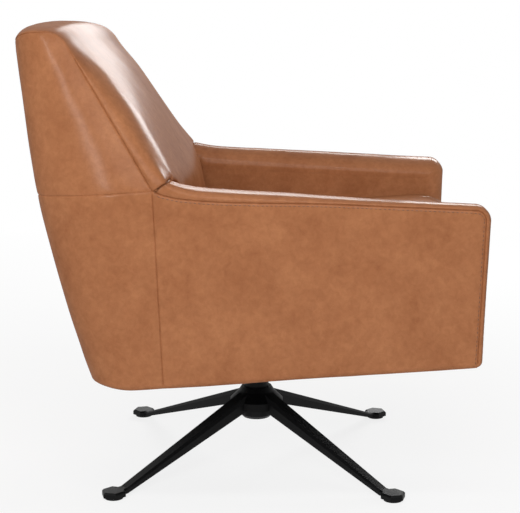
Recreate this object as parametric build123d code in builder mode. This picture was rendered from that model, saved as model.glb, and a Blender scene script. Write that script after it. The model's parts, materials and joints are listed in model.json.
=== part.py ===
"""Upholstered lounge armchair on a four-legged swivel base.

Frame: +X towards the front of the seat, +Y to the sitter's left, +Z up, in millimetres.
The origin is on the floor, on the swivel axis.
The upholstered body is drawn in its own frame, u forward, v left and h up, which leans back on the base.
"""

import os
from math import cos, radians, sin, sqrt, tan

from build123d import *

os.makedirs("parts", exist_ok=True)

# Four-legged base
FOOT_RADIUS = 338.0
LEG_COUNT = 4
FIRST_LEG_ANGLE = 45.0
PAD_ACROSS = 44.0
PAD_SIDES = 6
PAD_THICKNESS = 10.0
PAD_BEVEL = 3.0
PAD_BEVEL_ANGLE = 40.0
GLIDE_DIAMETER = 32.0
GLIDE_THICKNESS = 4.0
GLIDE_STEM_DIAMETER = 8.0
GLIDE_STEM_LENGTH = 6.0
LEG_ROOT_RADIUS = 18.0
LEG_ROOT_TOP = 130.0
LEG_ROOT_BOTTOM = 101.0
LEG_ROOT_WIDTH = 31.0
LEG_TIP_WIDTH = 21.0
LEG_TIP_RISE = 0.8
LEG_CROWN_SHARE = 0.72
LEG_SHOULDER_SHARE = 0.3
HUB_COLLAR_DIAMETER = 56.0
HUB_COLLAR_HEIGHT = 8.0
HUB_SHOULDER_DIAMETER = 66.0
HUB_SKIRT_DIAMETER = 98.0
HUB_SKIRT_THICKNESS = 14.0
HUB_TOP = 126.0
HUB_BOTTOM = 96.0
HUB_LEDGE = 5.0

# Swivel column and its bearing
COLUMN_DIAMETER = 45.0
COLUMN_WALL = 3.5
COLUMN_FLOOR = 4.0
COLUMN_TOP_GAP = 12.0
BUSH_LENGTH = 62.0
BUSH_FLANGE = 3.0
SPINDLE_DIAMETER = 28.0
STEM_DIAMETER = 10.0
STEM_GROOVE_DIAMETER = 8.0
STEM_HOLE_DIAMETER = 12.0
STEM_TAIL = 5.0
RUNNING_CLEARANCE = 0.05
PRESS_GAP = 0.02
RACE_THICKNESS = 2.0
RACE_DIAMETER = 34.0
ROLLER_DIAMETER = 4.0
ROLLER_LENGTH = 7.0
ROLLER_COUNT = 8
ROLLER_CIRCLE_DIAMETER = 23.0
ROLLER_GAP = 0.03
CAGE_THICKNESS = 2.0
CAGE_WIDTH = 10.0
CAGE_POCKET_GAP = 0.1
CLIP_THICKNESS = 1.5
CLIP_DIAMETER = 16.0
CLIP_SLOT = 6.0
WASHER_DIAMETER = 24.0
CAP_DIAMETER = 62.0
CAP_DEPTH = 21.0
CAP_WALL = 3.0
CAP_BEVEL = 6.0

# Swivel plate and its fasteners
PLATE_SIZE = 196.0
PLATE_THICKNESS = 4.0
PLATE_CORNER = 18.0
PLATE_RISE = 23.0
SOCKET_DIAMETER = 46.0
SOCKET_LENGTH = 40.0
SOCKET_TAPER = 1.4
GUSSET_COUNT = 4
GUSSET_REACH = 60.0
GUSSET_DROP = 24.0
GUSSET_THICKNESS = 5.0
SPINDLE_TOP_GAP = 3.0
BOLT_SPACING = 150.0
BOLT_DIAMETER = 8.0
BOLT_HOLE_DIAMETER = 9.0
BOLT_HEAD_ACROSS = 13.0
BOLT_HEAD_HEIGHT = 5.3
TEE_NUT_DIAMETER = 22.0
TEE_NUT_SIDES = 8
TEE_NUT_FLANGE = 1.6
TEE_NUT_BARREL = 11.0
TEE_NUT_DEPTH = 14.0
BOLT_END_GAP = 4.0

# Upholstered body
BODY_HEIGHT = 243.0
BODY_TILT = 4.3
HALF_WIDTH = 372.0
ARM_WIDTH = 91.0
COVER = 14.0
SEAM_HEIGHT = 315.0
REAR_AT_BOTTOM = 261.0
REAR_AT_SEAM = 312.0
WING_DEPTH = 60.0
BODY_CORNER = 72.0
TOP_NARROWING = 66.0
BOTTOM_ROUND = 11.0
REAR_SEAM = 129.0
REAR_SEAM_LEAN = 10.0
RECLINE = 27.3
WING_TOP = 571.0
WING_ROUND = 25.0

# Arms
ARM_TOP_SLOPE = 6.6
ARM_FRONT = 367.0
ARM_FRONT_LEAN = 6.1
ARM_CORNER_ROUND = 34.0
BAND_THICKNESS = 13.0
BAND_EDGE_ROUND = 7.0
ARM_PAD_ROUND = 8.0

# Back cushion
BACK_RIM = 46.0
BACK_EDGE = 15.0
BACK_CROWN = 40.0
BACK_SHOULDER = 0.72
ROLL_EDGE = 9.0
ROLL_CROWN = 17.0
ROLL_END_CROWN = 12.0
ROLL_STEPS = 4
ROLL_END_INSET = 6.0
RIM_SHARE = 0.75
LUMBAR_RIM = 16.0
LUMBAR_EDGE = 32.0
LUMBAR_CROWN = 57.0
LUMBAR_WAIST = 120.0
LUMBAR_TAPER = 12.0
SOFT_GAP = 2.0

# Seat cushion
SEAT_EDGE_HEIGHT = 189.0
SEAT_CROWN = 20.0
SEAT_RIM = 24.0
SEAT_FRONT_ROUND = 28.0
SEAT_FRONT_BULGE = 12.0
SEAT_REAR_ROUND = 16.0
SEAT_ROUND_STEPS = 4
CUSHION_GAP = 0.4
APRON_TOP_GAP = 1.5

# Timber frame and webbing
PANEL = 22.0
FRAME_BOTTOM = 4.0
FRAME_FRONT = 349.0
FRAME_CLEARANCE = 1.0
RAIL_TOP = 70.0
SIDE_FRAME_BORDER = 58.0
POST_GAP = 2.0
POST_CLEARANCE = 8.0
TOP_RAIL_HEIGHT = 38.0
TOP_RAIL_LEAD = 4.0
TOP_RAIL_CLEARANCE = 22.0
LUMBAR_RAIL_HEIGHT = 46.0
LUMBAR_RAIL_BOTTOM = 205.0
MOUNT_RAIL_HEIGHT = 28.0
MOUNT_RAIL_WIDTH = 60.0
BLOCK_CLEARANCE = 2.0
BLOCK_HEIGHT = 40.0
STRAP_WIDTH = 50.0
STRAP_THICKNESS = 1.6
STRAP_PITCH = 96.0
STRAP_COUNT = 5
CROSS_STRAP_PITCH = 88.0
CROSS_STRAP_CENTRE = 90.0
BACK_STRAP_COUNT = 4
DUST_COVER = 1.5
DUST_COVER_GAP = 1.0
DUST_HOLE_DIAMETER = 78.0

# Frames of reference
TILT_COS, TILT_SIN = cos(radians(BODY_TILT)), sin(radians(BODY_TILT))
LEAN_COS, LEAN_SIN = cos(radians(RECLINE)), sin(radians(RECLINE))
FRONT_RUN = tan(radians(ARM_FRONT_LEAN))
ARM_FALL = tan(radians(ARM_TOP_SLOPE))
BODY = Plane(
    origin=(0, 0, BODY_HEIGHT), x_dir=(TILT_COS, 0, TILT_SIN), z_dir=(-TILT_SIN, 0, TILT_COS)
)
BODY_UP = Axis(BODY.origin, BODY.z_dir)
BODY_AHEAD = Axis(BODY.origin, BODY.x_dir)
BODY_DIAGONAL = Axis(BODY.origin, BODY.x_dir + BODY.z_dir)
SIDE = Plane(origin=BODY.origin, x_dir=BODY.x_dir, z_dir=(0, -1, 0))
ON_BASE = (Align.CENTER, Align.CENTER, Align.MIN)
UNDER_TOP = (Align.CENTER, Align.CENTER, Align.MAX)


def level(h):
    """Plane parallel to the body's underside at height h."""
    return BODY.offset(h)


def upright(u):
    """Plane square to the body's length at u, with v across and h up."""
    return Plane(origin=BODY.from_local_coords(Vector(u, 0, 0)), x_dir=(0, 1, 0), z_dir=BODY.x_dir)


def across(u, h, lean):
    """Plane square to the back's path at (u, h), with the path leaning back by the angle lean."""
    along = BODY.z_dir * cos(radians(lean)) - BODY.x_dir * sin(radians(lean))
    return Plane(origin=BODY.from_local_coords(Vector(u, 0, h)), x_dir=(0, -1, 0), z_dir=along)


def slab(v):
    """Side plane moved left by v."""
    return SIDE.offset(-v)


def save(part, name):
    part.label = name
    export_step(part, f"parts/{name}.step")


def save_pair(part, name):
    """A left-hand piece and its mirror image."""
    with BuildPart() as right:
        mirror(part, about=Plane.XZ)
    save(part, f"left_{name}")
    save(right.part, f"right_{name}")


def ring(outer, inner, bottom, top):
    """Upright tube about the swivel axis, given its two diameters and its two heights."""
    with Locations((0, 0, bottom)):
        Cylinder(outer / 2, top - bottom, align=ON_BASE)
        Cylinder(inner / 2, top - bottom, align=ON_BASE, mode=Mode.SUBTRACT)


# Star base: one casting of hub, legs and foot pads
PAD_TOP = GLIDE_THICKNESS + PAD_THICKNESS
COLLAR_TOP = HUB_TOP + HUB_COLLAR_HEIGHT
COLUMN_BOTTOM = HUB_BOTTOM + HUB_LEDGE
COLUMN_BORE = COLUMN_DIAMETER - 2 * COLUMN_WALL
KNEE_RADIUS = FOOT_RADIUS - PAD_ACROSS / 2


def leg_section(radius, width, bottom, top, heading):
    """Leg cross-section at a distance from the axis: upright flanks below a narrower flat top."""
    shoulder = top - (top - bottom) * LEG_SHOULDER_SHARE
    half = width / 2
    crown = half * LEG_CROWN_SHARE
    station = Plane(origin=heading.x_dir * radius, x_dir=heading.y_dir, z_dir=heading.x_dir)
    with BuildSketch(station) as section:
        Polygon(
            (-half, bottom),
            (half, bottom),
            (half, shoulder),
            (crown, top),
            (-crown, top),
            (-half, shoulder),
            align=None,
        )
    return section.sketch.face()


with BuildPart() as star_base:
    with BuildSketch(Plane.XZ):
        Polygon(
            (0, HUB_BOTTOM),
            (HUB_SKIRT_DIAMETER / 2, HUB_BOTTOM),
            (HUB_SKIRT_DIAMETER / 2, HUB_BOTTOM + HUB_SKIRT_THICKNESS),
            (HUB_SHOULDER_DIAMETER / 2, HUB_TOP),
            (HUB_COLLAR_DIAMETER / 2, COLLAR_TOP),
            (0, COLLAR_TOP),
            align=None,
        )
    revolve(axis=Axis.Z)
    for step in range(LEG_COUNT):
        heading = Plane.XY.rotated((0, 0, FIRST_LEG_ANGLE + step * 360 / LEG_COUNT))
        leg_bottom = GLIDE_THICKNESS + LEG_TIP_RISE
        root = leg_section(LEG_ROOT_RADIUS, LEG_ROOT_WIDTH, LEG_ROOT_BOTTOM, LEG_ROOT_TOP, heading)
        knee = leg_section(KNEE_RADIUS, LEG_TIP_WIDTH, leg_bottom, PAD_TOP, heading)
        end = leg_section(FOOT_RADIUS, LEG_TIP_WIDTH, leg_bottom, PAD_TOP - LEG_TIP_RISE, heading)
        loft([root, knee, end], ruled=True)
    with BuildSketch(Plane.XY.offset(GLIDE_THICKNESS)):
        with PolarLocations(FOOT_RADIUS, LEG_COUNT, FIRST_LEG_ANGLE):
            RegularPolygon(PAD_ACROSS / 2, PAD_SIDES)
    extrude(amount=PAD_THICKNESS - PAD_BEVEL)
    with BuildSketch(Plane.XY.offset(PAD_TOP - PAD_BEVEL)):
        with PolarLocations(FOOT_RADIUS, LEG_COUNT, FIRST_LEG_ANGLE):
            RegularPolygon(PAD_ACROSS / 2, PAD_SIDES)
    extrude(amount=PAD_BEVEL, taper=PAD_BEVEL_ANGLE)
    with PolarLocations(FOOT_RADIUS, LEG_COUNT, FIRST_LEG_ANGLE):
        with Locations((0, 0, GLIDE_THICKNESS)):
            Cylinder(
                GLIDE_STEM_DIAMETER / 2 + PRESS_GAP, GLIDE_STEM_LENGTH, align=ON_BASE, mode=Mode.SUBTRACT
            )
    with Locations((0, 0, COLUMN_BOTTOM)):
        Cylinder(COLUMN_DIAMETER / 2 + PRESS_GAP, COLLAR_TOP, align=ON_BASE, mode=Mode.SUBTRACT)
    with Locations((0, 0, HUB_BOTTOM)):
        Cylinder(COLUMN_BORE / 2, HUB_LEDGE, align=ON_BASE, mode=Mode.SUBTRACT)
save(star_base.part, "star_base")

with BuildPart() as floor_glides:
    with PolarLocations(FOOT_RADIUS, LEG_COUNT, FIRST_LEG_ANGLE):
        Cylinder(GLIDE_DIAMETER / 2, GLIDE_THICKNESS, align=ON_BASE)
        Cylinder(GLIDE_STEM_DIAMETER / 2, GLIDE_THICKNESS + GLIDE_STEM_LENGTH - PRESS_GAP, align=ON_BASE)
save(floor_glides.part, "floor_glides")

with BuildPart() as hub_cap:
    with Locations((0, 0, HUB_BOTTOM)):
        Cylinder(CAP_DIAMETER / 2, CAP_DEPTH, align=UNDER_TOP)
    chamfer(hub_cap.edges().sort_by(Axis.Z)[0], CAP_BEVEL)
    with Locations((0, 0, HUB_BOTTOM)):
        Cylinder(CAP_DIAMETER / 2 - CAP_WALL, CAP_DEPTH - CAP_BEVEL, align=UNDER_TOP, mode=Mode.SUBTRACT)
save(hub_cap.part, "hub_cap")

# Column, guide bush and thrust bearing
FLOOR_TOP = COLUMN_BOTTOM + COLUMN_FLOOR
LOWER_RACE_TOP = FLOOR_TOP + RACE_THICKNESS
UPPER_RACE_BOTTOM = LOWER_RACE_TOP + ROLLER_DIAMETER
SPINDLE_BOTTOM = UPPER_RACE_BOTTOM + RACE_THICKNESS
ROLLER_LEVEL = (LOWER_RACE_TOP + UPPER_RACE_BOTTOM) / 2
PLATE_UNDERSIDE = BODY_HEIGHT + PLATE_RISE
SOCKET_BOTTOM = PLATE_UNDERSIDE - SOCKET_LENGTH
COLUMN_TOP = SOCKET_BOTTOM - COLUMN_TOP_GAP
BUSH_TOP = COLUMN_TOP + BUSH_FLANGE
BUSH_BORE = SPINDLE_DIAMETER + 2 * RUNNING_CLEARANCE
WASHER_TOP = COLUMN_BOTTOM - RUNNING_CLEARANCE
CLIP_TOP = WASHER_TOP - CLIP_THICKNESS
CLIP_BOTTOM = CLIP_TOP - CLIP_THICKNESS
STEM_END = CLIP_BOTTOM - STEM_TAIL

with BuildPart() as column_tube:
    ring(COLUMN_DIAMETER, COLUMN_BORE, FLOOR_TOP, COLUMN_TOP)
    ring(COLUMN_DIAMETER, STEM_HOLE_DIAMETER, COLUMN_BOTTOM, FLOOR_TOP)
save(column_tube.part, "column_tube")

with BuildPart() as guide_bush:
    ring(COLUMN_BORE - 2 * PRESS_GAP, BUSH_BORE, COLUMN_TOP - BUSH_LENGTH, COLUMN_TOP)
    ring(COLUMN_DIAMETER, BUSH_BORE, COLUMN_TOP, BUSH_TOP)
save(guide_bush.part, "guide_bush")

with BuildPart() as lower_race:
    ring(RACE_DIAMETER, STEM_HOLE_DIAMETER, FLOOR_TOP, LOWER_RACE_TOP)
save(lower_race.part, "lower_race")

with BuildPart() as upper_race:
    ring(RACE_DIAMETER, STEM_DIAMETER + 2 * PRESS_GAP, UPPER_RACE_BOTTOM, SPINDLE_BOTTOM)
save(upper_race.part, "upper_race")

with BuildPart() as bearing_rollers:
    with Locations((0, 0, ROLLER_LEVEL)):
        with PolarLocations(ROLLER_CIRCLE_DIAMETER / 2, ROLLER_COUNT):
            Cylinder(ROLLER_DIAMETER / 2 - ROLLER_GAP, ROLLER_LENGTH, rotation=(0, 90, 0))
save(bearing_rollers.part, "bearing_rollers")

with BuildPart() as roller_cage:
    ring(
        ROLLER_CIRCLE_DIAMETER + CAGE_WIDTH,
        ROLLER_CIRCLE_DIAMETER - CAGE_WIDTH,
        ROLLER_LEVEL - CAGE_THICKNESS / 2,
        ROLLER_LEVEL + CAGE_THICKNESS / 2,
    )
    with Locations((0, 0, ROLLER_LEVEL)):
        with PolarLocations(ROLLER_CIRCLE_DIAMETER / 2, ROLLER_COUNT):
            Box(
                ROLLER_LENGTH + 2 * CAGE_POCKET_GAP,
                ROLLER_DIAMETER + 2 * CAGE_POCKET_GAP,
                CAGE_THICKNESS,
                mode=Mode.SUBTRACT,
            )
save(roller_cage.part, "roller_cage")

SPINDLE_RADIUS = SPINDLE_DIAMETER / 2
SPINDLE_TOP = PLATE_UNDERSIDE - SPINDLE_TOP_GAP
TOP_RADIUS = SPINDLE_RADIUS - SOCKET_TAPER * (SPINDLE_TOP - SOCKET_BOTTOM) / SOCKET_LENGTH

with BuildPart() as spindle:
    with BuildSketch(Plane.XZ):
        Polygon(
            (0, STEM_END),
            (STEM_DIAMETER / 2, STEM_END),
            (STEM_DIAMETER / 2, CLIP_BOTTOM),
            (STEM_GROOVE_DIAMETER / 2, CLIP_BOTTOM),
            (STEM_GROOVE_DIAMETER / 2, CLIP_TOP),
            (STEM_DIAMETER / 2, CLIP_TOP),
            (STEM_DIAMETER / 2, SPINDLE_BOTTOM),
            (SPINDLE_RADIUS, SPINDLE_BOTTOM),
            (SPINDLE_RADIUS, SOCKET_BOTTOM),
            (TOP_RADIUS, SPINDLE_TOP),
            (0, SPINDLE_TOP),
            align=None,
        )
    revolve(axis=Axis.Z)
save(spindle.part, "spindle")

with BuildPart() as clip_washer:
    ring(WASHER_DIAMETER, STEM_DIAMETER + 2 * PRESS_GAP, CLIP_TOP, WASHER_TOP)
save(clip_washer.part, "clip_washer")

with BuildPart() as retaining_clip:
    ring(CLIP_DIAMETER, STEM_GROOVE_DIAMETER + 2 * PRESS_GAP, CLIP_BOTTOM + PRESS_GAP, CLIP_TOP)
    with Locations((CLIP_DIAMETER / 2, 0, CLIP_TOP)):
        Box(CLIP_DIAMETER, CLIP_SLOT, CLIP_DIAMETER, mode=Mode.SUBTRACT)
save(retaining_clip.part, "retaining_clip")

# Swivel plate with its tapered socket, and the fasteners through it
PLATE_TOP = PLATE_UNDERSIDE + PLATE_THICKNESS
MOUNT_RAIL_TOP = PLATE_TOP + MOUNT_RAIL_HEIGHT
GUSSET_ROOT = SOCKET_DIAMETER / 2 - COLUMN_WALL

with BuildPart() as swivel_plate:
    with BuildSketch(Plane.XY.offset(PLATE_UNDERSIDE)):
        RectangleRounded(PLATE_SIZE, PLATE_SIZE, PLATE_CORNER)
        with GridLocations(BOLT_SPACING, BOLT_SPACING, 2, 2):
            Circle(BOLT_HOLE_DIAMETER / 2, mode=Mode.SUBTRACT)
    extrude(amount=PLATE_THICKNESS)
    with Locations((0, 0, SOCKET_BOTTOM)):
        Cylinder(SOCKET_DIAMETER / 2, SOCKET_LENGTH, align=ON_BASE)
    for step in range(GUSSET_COUNT):
        with BuildSketch(Plane.XZ.rotated((0, 0, step * 360 / GUSSET_COUNT))):
            Polygon(
                (GUSSET_ROOT, PLATE_UNDERSIDE),
                (GUSSET_REACH, PLATE_UNDERSIDE),
                (GUSSET_ROOT, PLATE_UNDERSIDE - GUSSET_DROP),
                align=None,
            )
        extrude(amount=GUSSET_THICKNESS / 2, both=True)
    with Locations((0, 0, SOCKET_BOTTOM)):
        Cone(
            SPINDLE_RADIUS + PRESS_GAP,
            SPINDLE_RADIUS + PRESS_GAP - SOCKET_TAPER,
            SOCKET_LENGTH,
            align=ON_BASE,
            mode=Mode.SUBTRACT,
        )
save(swivel_plate.part, "swivel_plate")

with BuildPart() as plate_bolts:
    with BuildSketch(Plane.XY.offset(PLATE_UNDERSIDE - BOLT_HEAD_HEIGHT)):
        with GridLocations(BOLT_SPACING, BOLT_SPACING, 2, 2):
            RegularPolygon(BOLT_HEAD_ACROSS / 2, 6, major_radius=False)
    extrude(amount=BOLT_HEAD_HEIGHT)
    with Locations((0, 0, PLATE_UNDERSIDE)):
        with GridLocations(BOLT_SPACING, BOLT_SPACING, 2, 2):
            Cylinder(BOLT_DIAMETER / 2, MOUNT_RAIL_TOP - BOLT_END_GAP - PLATE_UNDERSIDE, align=ON_BASE)
save(plate_bolts.part, "plate_bolts")

with BuildPart() as tee_nuts:
    with BuildSketch(Plane.XY.offset(MOUNT_RAIL_TOP)):
        with GridLocations(BOLT_SPACING, BOLT_SPACING, 2, 2):
            RegularPolygon(TEE_NUT_DIAMETER / 2, TEE_NUT_SIDES)
    extrude(amount=TEE_NUT_FLANGE)
    with Locations((0, 0, MOUNT_RAIL_TOP)):
        with GridLocations(BOLT_SPACING, BOLT_SPACING, 2, 2):
            Cylinder(TEE_NUT_BARREL / 2, TEE_NUT_DEPTH, align=UNDER_TOP)
            Cylinder(BOLT_DIAMETER / 2 + PRESS_GAP, 2 * TEE_NUT_DEPTH, mode=Mode.SUBTRACT)
save(tee_nuts.part, "tee_nuts")

# Seat frame: rails, corner blocks and side frames
TOP_HALF_WIDTH = HALF_WIDTH - TOP_NARROWING
FRAME_HALF = HALF_WIDTH - COVER - PANEL
FRAME_REAR = REAR_AT_BOTTOM - BODY_CORNER - FRAME_CLEARANCE
RAIL_INNER = FRAME_HALF - PANEL
FRONT_RAIL_REAR = FRAME_FRONT - PANEL
REAR_RAIL_FRONT = FRAME_REAR - PANEL
POST_OUTER = TOP_HALF_WIDTH - COVER - POST_CLEARANCE
BLOCK_SIZE = RAIL_INNER - POST_OUTER - BLOCK_CLEARANCE


def box(u_span, v_span, h_span):
    """Block between pairs of body coordinates."""
    with BuildSketch(level(h_span[0])) as outline:
        Polygon(
            (u_span[0], v_span[0]), (u_span[1], v_span[0]), (u_span[1], v_span[1]), (u_span[0], v_span[1]),
            align=None,
        )
    extrude(outline.sketch, amount=h_span[1] - h_span[0])


def panel(corners, v_inner, v_outer, mode=Mode.ADD):
    """Panel with its outline in the side view and its thickness between two distances from the middle."""
    with BuildSketch(slab(v_outer)) as outline:
        Polygon(*corners, align=None)
    extrude(outline.sketch, amount=v_outer - v_inner, mode=mode)


def arm_top(u):
    """Height of the arm's top face."""
    return SEAM_HEIGHT - (u + REAR_SEAM) * ARM_FALL


def front_face(h):
    """Position of the arm's front face."""
    return ARM_FRONT + h * FRONT_RUN


with BuildPart() as front_rail:
    box((FRONT_RAIL_REAR, FRAME_FRONT), (-FRAME_HALF, FRAME_HALF), (FRAME_BOTTOM, RAIL_TOP))
save(front_rail.part, "front_rail")

with BuildPart() as rear_rail:
    box((-FRAME_REAR, -REAR_RAIL_FRONT), (-FRAME_HALF, FRAME_HALF), (FRAME_BOTTOM, RAIL_TOP))
save(rear_rail.part, "rear_rail")

with BuildPart() as seat_rail:
    box((-REAR_RAIL_FRONT, FRONT_RAIL_REAR), (RAIL_INNER, FRAME_HALF), (FRAME_BOTTOM, RAIL_TOP))
save_pair(seat_rail.part, "seat_rail")

with BuildPart() as mount_rail:
    with BuildSketch(Plane.XZ.offset(-(BOLT_SPACING - MOUNT_RAIL_WIDTH) / 2)):
        with Locations((0, PLATE_TOP)):
            Rectangle(2 * ARM_FRONT, MOUNT_RAIL_HEIGHT, align=(Align.CENTER, Align.MIN))
    extrude(amount=-MOUNT_RAIL_WIDTH)
    split(bisect_by=upright(FRONT_RAIL_REAR), keep=Keep.BOTTOM)
    split(bisect_by=upright(-REAR_RAIL_FRONT), keep=Keep.TOP)
    split(bisect_by=level(FRAME_BOTTOM), keep=Keep.TOP)
    with Locations((0, BOLT_SPACING / 2, MOUNT_RAIL_TOP)):
        with GridLocations(BOLT_SPACING, BOLT_SPACING, 2, 1):
            Cylinder(TEE_NUT_BARREL / 2 + PRESS_GAP, TEE_NUT_DEPTH, align=UNDER_TOP, mode=Mode.SUBTRACT)
            Cylinder(BOLT_HOLE_DIAMETER / 2, MOUNT_RAIL_HEIGHT, align=UNDER_TOP, mode=Mode.SUBTRACT)
save_pair(mount_rail.part, "mount_rail")

BLOCK_BOTTOM = (FRAME_BOTTOM + RAIL_TOP - BLOCK_HEIGHT) / 2

with BuildPart() as corner_blocks:
    with BuildSketch(level(BLOCK_BOTTOM)):
        for v, into in ((RAIL_INNER, -BLOCK_SIZE), (-RAIL_INNER, BLOCK_SIZE)):
            for u, ahead in ((FRONT_RAIL_REAR, -BLOCK_SIZE), (-REAR_RAIL_FRONT, BLOCK_SIZE)):
                Polygon((u, v), (u + ahead, v), (u, v + into), align=None)
    extrude(amount=BLOCK_HEIGHT)
save(corner_blocks.part, "corner_blocks")

SIDE_OUTER = HALF_WIDTH - COVER
SIDE_OUTLINE = [
    (-FRAME_REAR, FRAME_BOTTOM),
    (FRAME_FRONT, FRAME_BOTTOM),
    (FRAME_FRONT, arm_top(FRAME_FRONT) - BAND_THICKNESS),
    (-REAR_SEAM, SEAM_HEIGHT - BAND_THICKNESS),
    (-FRAME_REAR, SEAM_HEIGHT - BAND_THICKNESS),
]

with BuildPart() as side_frame:
    with BuildSketch(slab(SIDE_OUTER)):
        Polygon(*SIDE_OUTLINE, align=None)
        offset(amount=-SIDE_FRAME_BORDER, mode=Mode.SUBTRACT)
    extrude(amount=PANEL)
save_pair(side_frame.part, "side_frame")

# Back frame: posts, rails and webbing
ROLL_LEVEL = WING_TOP - WING_ROUND
SLOPE_LENGTH = (ROLL_LEVEL - SEAM_HEIGHT + WING_ROUND * LEAN_SIN) / LEAN_COS
TOP_RAIL_TOP = WING_TOP - POST_GAP
POST_TOP = TOP_RAIL_TOP - TOP_RAIL_HEIGHT


def slope(along, out=0.0):
    """Body coordinates of a point on the back's seam line, moved out square to it."""
    return (
        -REAR_SEAM - along * LEAN_SIN + out * LEAN_COS,
        SEAM_HEIGHT + along * LEAN_COS + out * LEAN_SIN,
    )


SLOPE_END = slope(SLOPE_LENGTH)
ROLL_CENTRE = (SLOPE_END[0] - WING_ROUND * LEAN_COS, ROLL_LEVEL)
REAR_AT_TOP = WING_DEPTH - ROLL_CENTRE[0]


def top_half(u, inset=0.0):
    """Half-width of the body's top at u, round its rear corner, set in by a wall."""
    behind = min(REAR_AT_TOP - BODY_CORNER + u, 0)
    return TOP_HALF_WIDTH - BODY_CORNER + sqrt((BODY_CORNER - inset) ** 2 - behind**2)


POST_KNEE = slope(0, -POST_GAP)
POST_DEPTH = REAR_RAIL_FRONT + POST_KNEE[0] - FRAME_CLEARANCE
POST_LENGTH = (POST_TOP - POST_KNEE[1]) / LEAN_COS
POST_HEAD = slope(POST_LENGTH, -POST_GAP)

with BuildPart() as back_post:
    panel(
        (
            (POST_KNEE[0], FRAME_BOTTOM),
            POST_KNEE,
            POST_HEAD,
            (POST_HEAD[0] - POST_DEPTH, POST_HEAD[1]),
            (POST_KNEE[0] - POST_DEPTH, POST_KNEE[1]),
            (POST_KNEE[0] - POST_DEPTH, FRAME_BOTTOM),
        ),
        POST_OUTER - PANEL,
        POST_OUTER,
    )
save_pair(back_post.part, "back_post")

TOP_RAIL_REAR = COVER + TOP_RAIL_CLEARANCE - REAR_AT_TOP
TOP_RAIL_HALF = top_half(TOP_RAIL_REAR, COVER) - POST_GAP

with BuildPart() as back_top_rail:
    box(
        (TOP_RAIL_REAR, ROLL_CENTRE[0] + TOP_RAIL_LEAD),
        (-TOP_RAIL_HALF, TOP_RAIL_HALF),
        (POST_TOP, TOP_RAIL_TOP),
    )
save(back_top_rail.part, "back_top_rail")

LUMBAR_RAIL_REAR = POST_KNEE[0] - POST_DEPTH

with BuildPart() as lumbar_rail:
    box(
        (LUMBAR_RAIL_REAR, LUMBAR_RAIL_REAR + PANEL),
        (PANEL - POST_OUTER, POST_OUTER - PANEL),
        (LUMBAR_RAIL_BOTTOM, LUMBAR_RAIL_BOTTOM + LUMBAR_RAIL_HEIGHT),
    )
save(lumbar_rail.part, "lumbar_rail")

with BuildPart() as back_webbing:
    for step in range(BACK_STRAP_COUNT):
        middle = (step + 0.5) * POST_LENGTH / BACK_STRAP_COUNT
        low, high = middle - STRAP_WIDTH / 2, middle + STRAP_WIDTH / 2
        front = STRAP_THICKNESS - POST_GAP
        panel(
            (slope(low, -POST_GAP), slope(high, -POST_GAP), slope(high, front), slope(low, front)),
            -POST_OUTER,
            POST_OUTER,
        )
save(back_webbing.part, "back_webbing")

STRAP_TOP = RAIL_TOP + STRAP_THICKNESS
DECK = STRAP_TOP + STRAP_THICKNESS

with BuildPart() as seat_webbing_long:
    for step in range(STRAP_COUNT):
        middle = (step - (STRAP_COUNT - 1) / 2) * STRAP_PITCH
        box(
            (-FRAME_REAR, FRAME_FRONT),
            (middle - STRAP_WIDTH / 2, middle + STRAP_WIDTH / 2),
            (RAIL_TOP, STRAP_TOP),
        )
save(seat_webbing_long.part, "seat_webbing_long")

with BuildPart() as seat_webbing_cross:
    for step in range(STRAP_COUNT):
        middle = CROSS_STRAP_CENTRE + (step - (STRAP_COUNT - 1) / 2) * CROSS_STRAP_PITCH
        box(
            (middle - STRAP_WIDTH / 2, middle + STRAP_WIDTH / 2),
            (-FRAME_HALF, FRAME_HALF),
            (STRAP_TOP, DECK),
        )
save(seat_webbing_cross.part, "seat_webbing_cross")

# Outer covers
REACH = 2 * HALF_WIDTH


def shell(low, high, inset=0.0):
    """Body between two levels, each given as height, half-width and rear, with round rear corners."""
    with BuildPart() as tub:
        panel(
            ((0, low[0]), (inset - low[2], low[0]), (inset - high[2], high[0]), (0, high[0])), -REACH, REACH
        )
        with BuildSketch(upright(0)) as rear_view:
            Polygon(
                (inset - low[1], low[0]),
                (low[1] - inset, low[0]),
                (high[1] - inset, high[0]),
                (inset - high[1], high[0]),
                align=None,
            )
        extrude(rear_view.sketch, amount=-REACH, mode=Mode.INTERSECT)
        fillet(tub.edges().sort_by(BODY_AHEAD)[1:3], BODY_CORNER - inset)
    return tub.part


AT_BOTTOM = (0, HALF_WIDTH, REAR_AT_BOTTOM)
AT_SEAM = (SEAM_HEIGHT, HALF_WIDTH, REAR_AT_SEAM)
AT_TOP = (WING_TOP, TOP_HALF_WIDTH, REAR_AT_TOP)
SIDE_SEAM_FOOT = -REAR_SEAM - REAR_SEAM_LEAN

with BuildPart() as lower_back_cover:
    add(shell(AT_BOTTOM, AT_SEAM))
    fillet(lower_back_cover.faces().sort_by(BODY_UP)[0].edges().sort_by(BODY_AHEAD)[:-1], BOTTOM_ROUND)
    add(shell(AT_BOTTOM, AT_SEAM, COVER), mode=Mode.SUBTRACT)
    panel(
        ((SIDE_SEAM_FOOT, 0), (-REAR_SEAM, SEAM_HEIGHT), (-REACH, SEAM_HEIGHT), (-REACH, 0)),
        -REACH,
        REACH,
        mode=Mode.INTERSECT,
    )
save(lower_back_cover.part, "lower_back_cover")

ROLL_TURN = 90 - RECLINE

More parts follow.
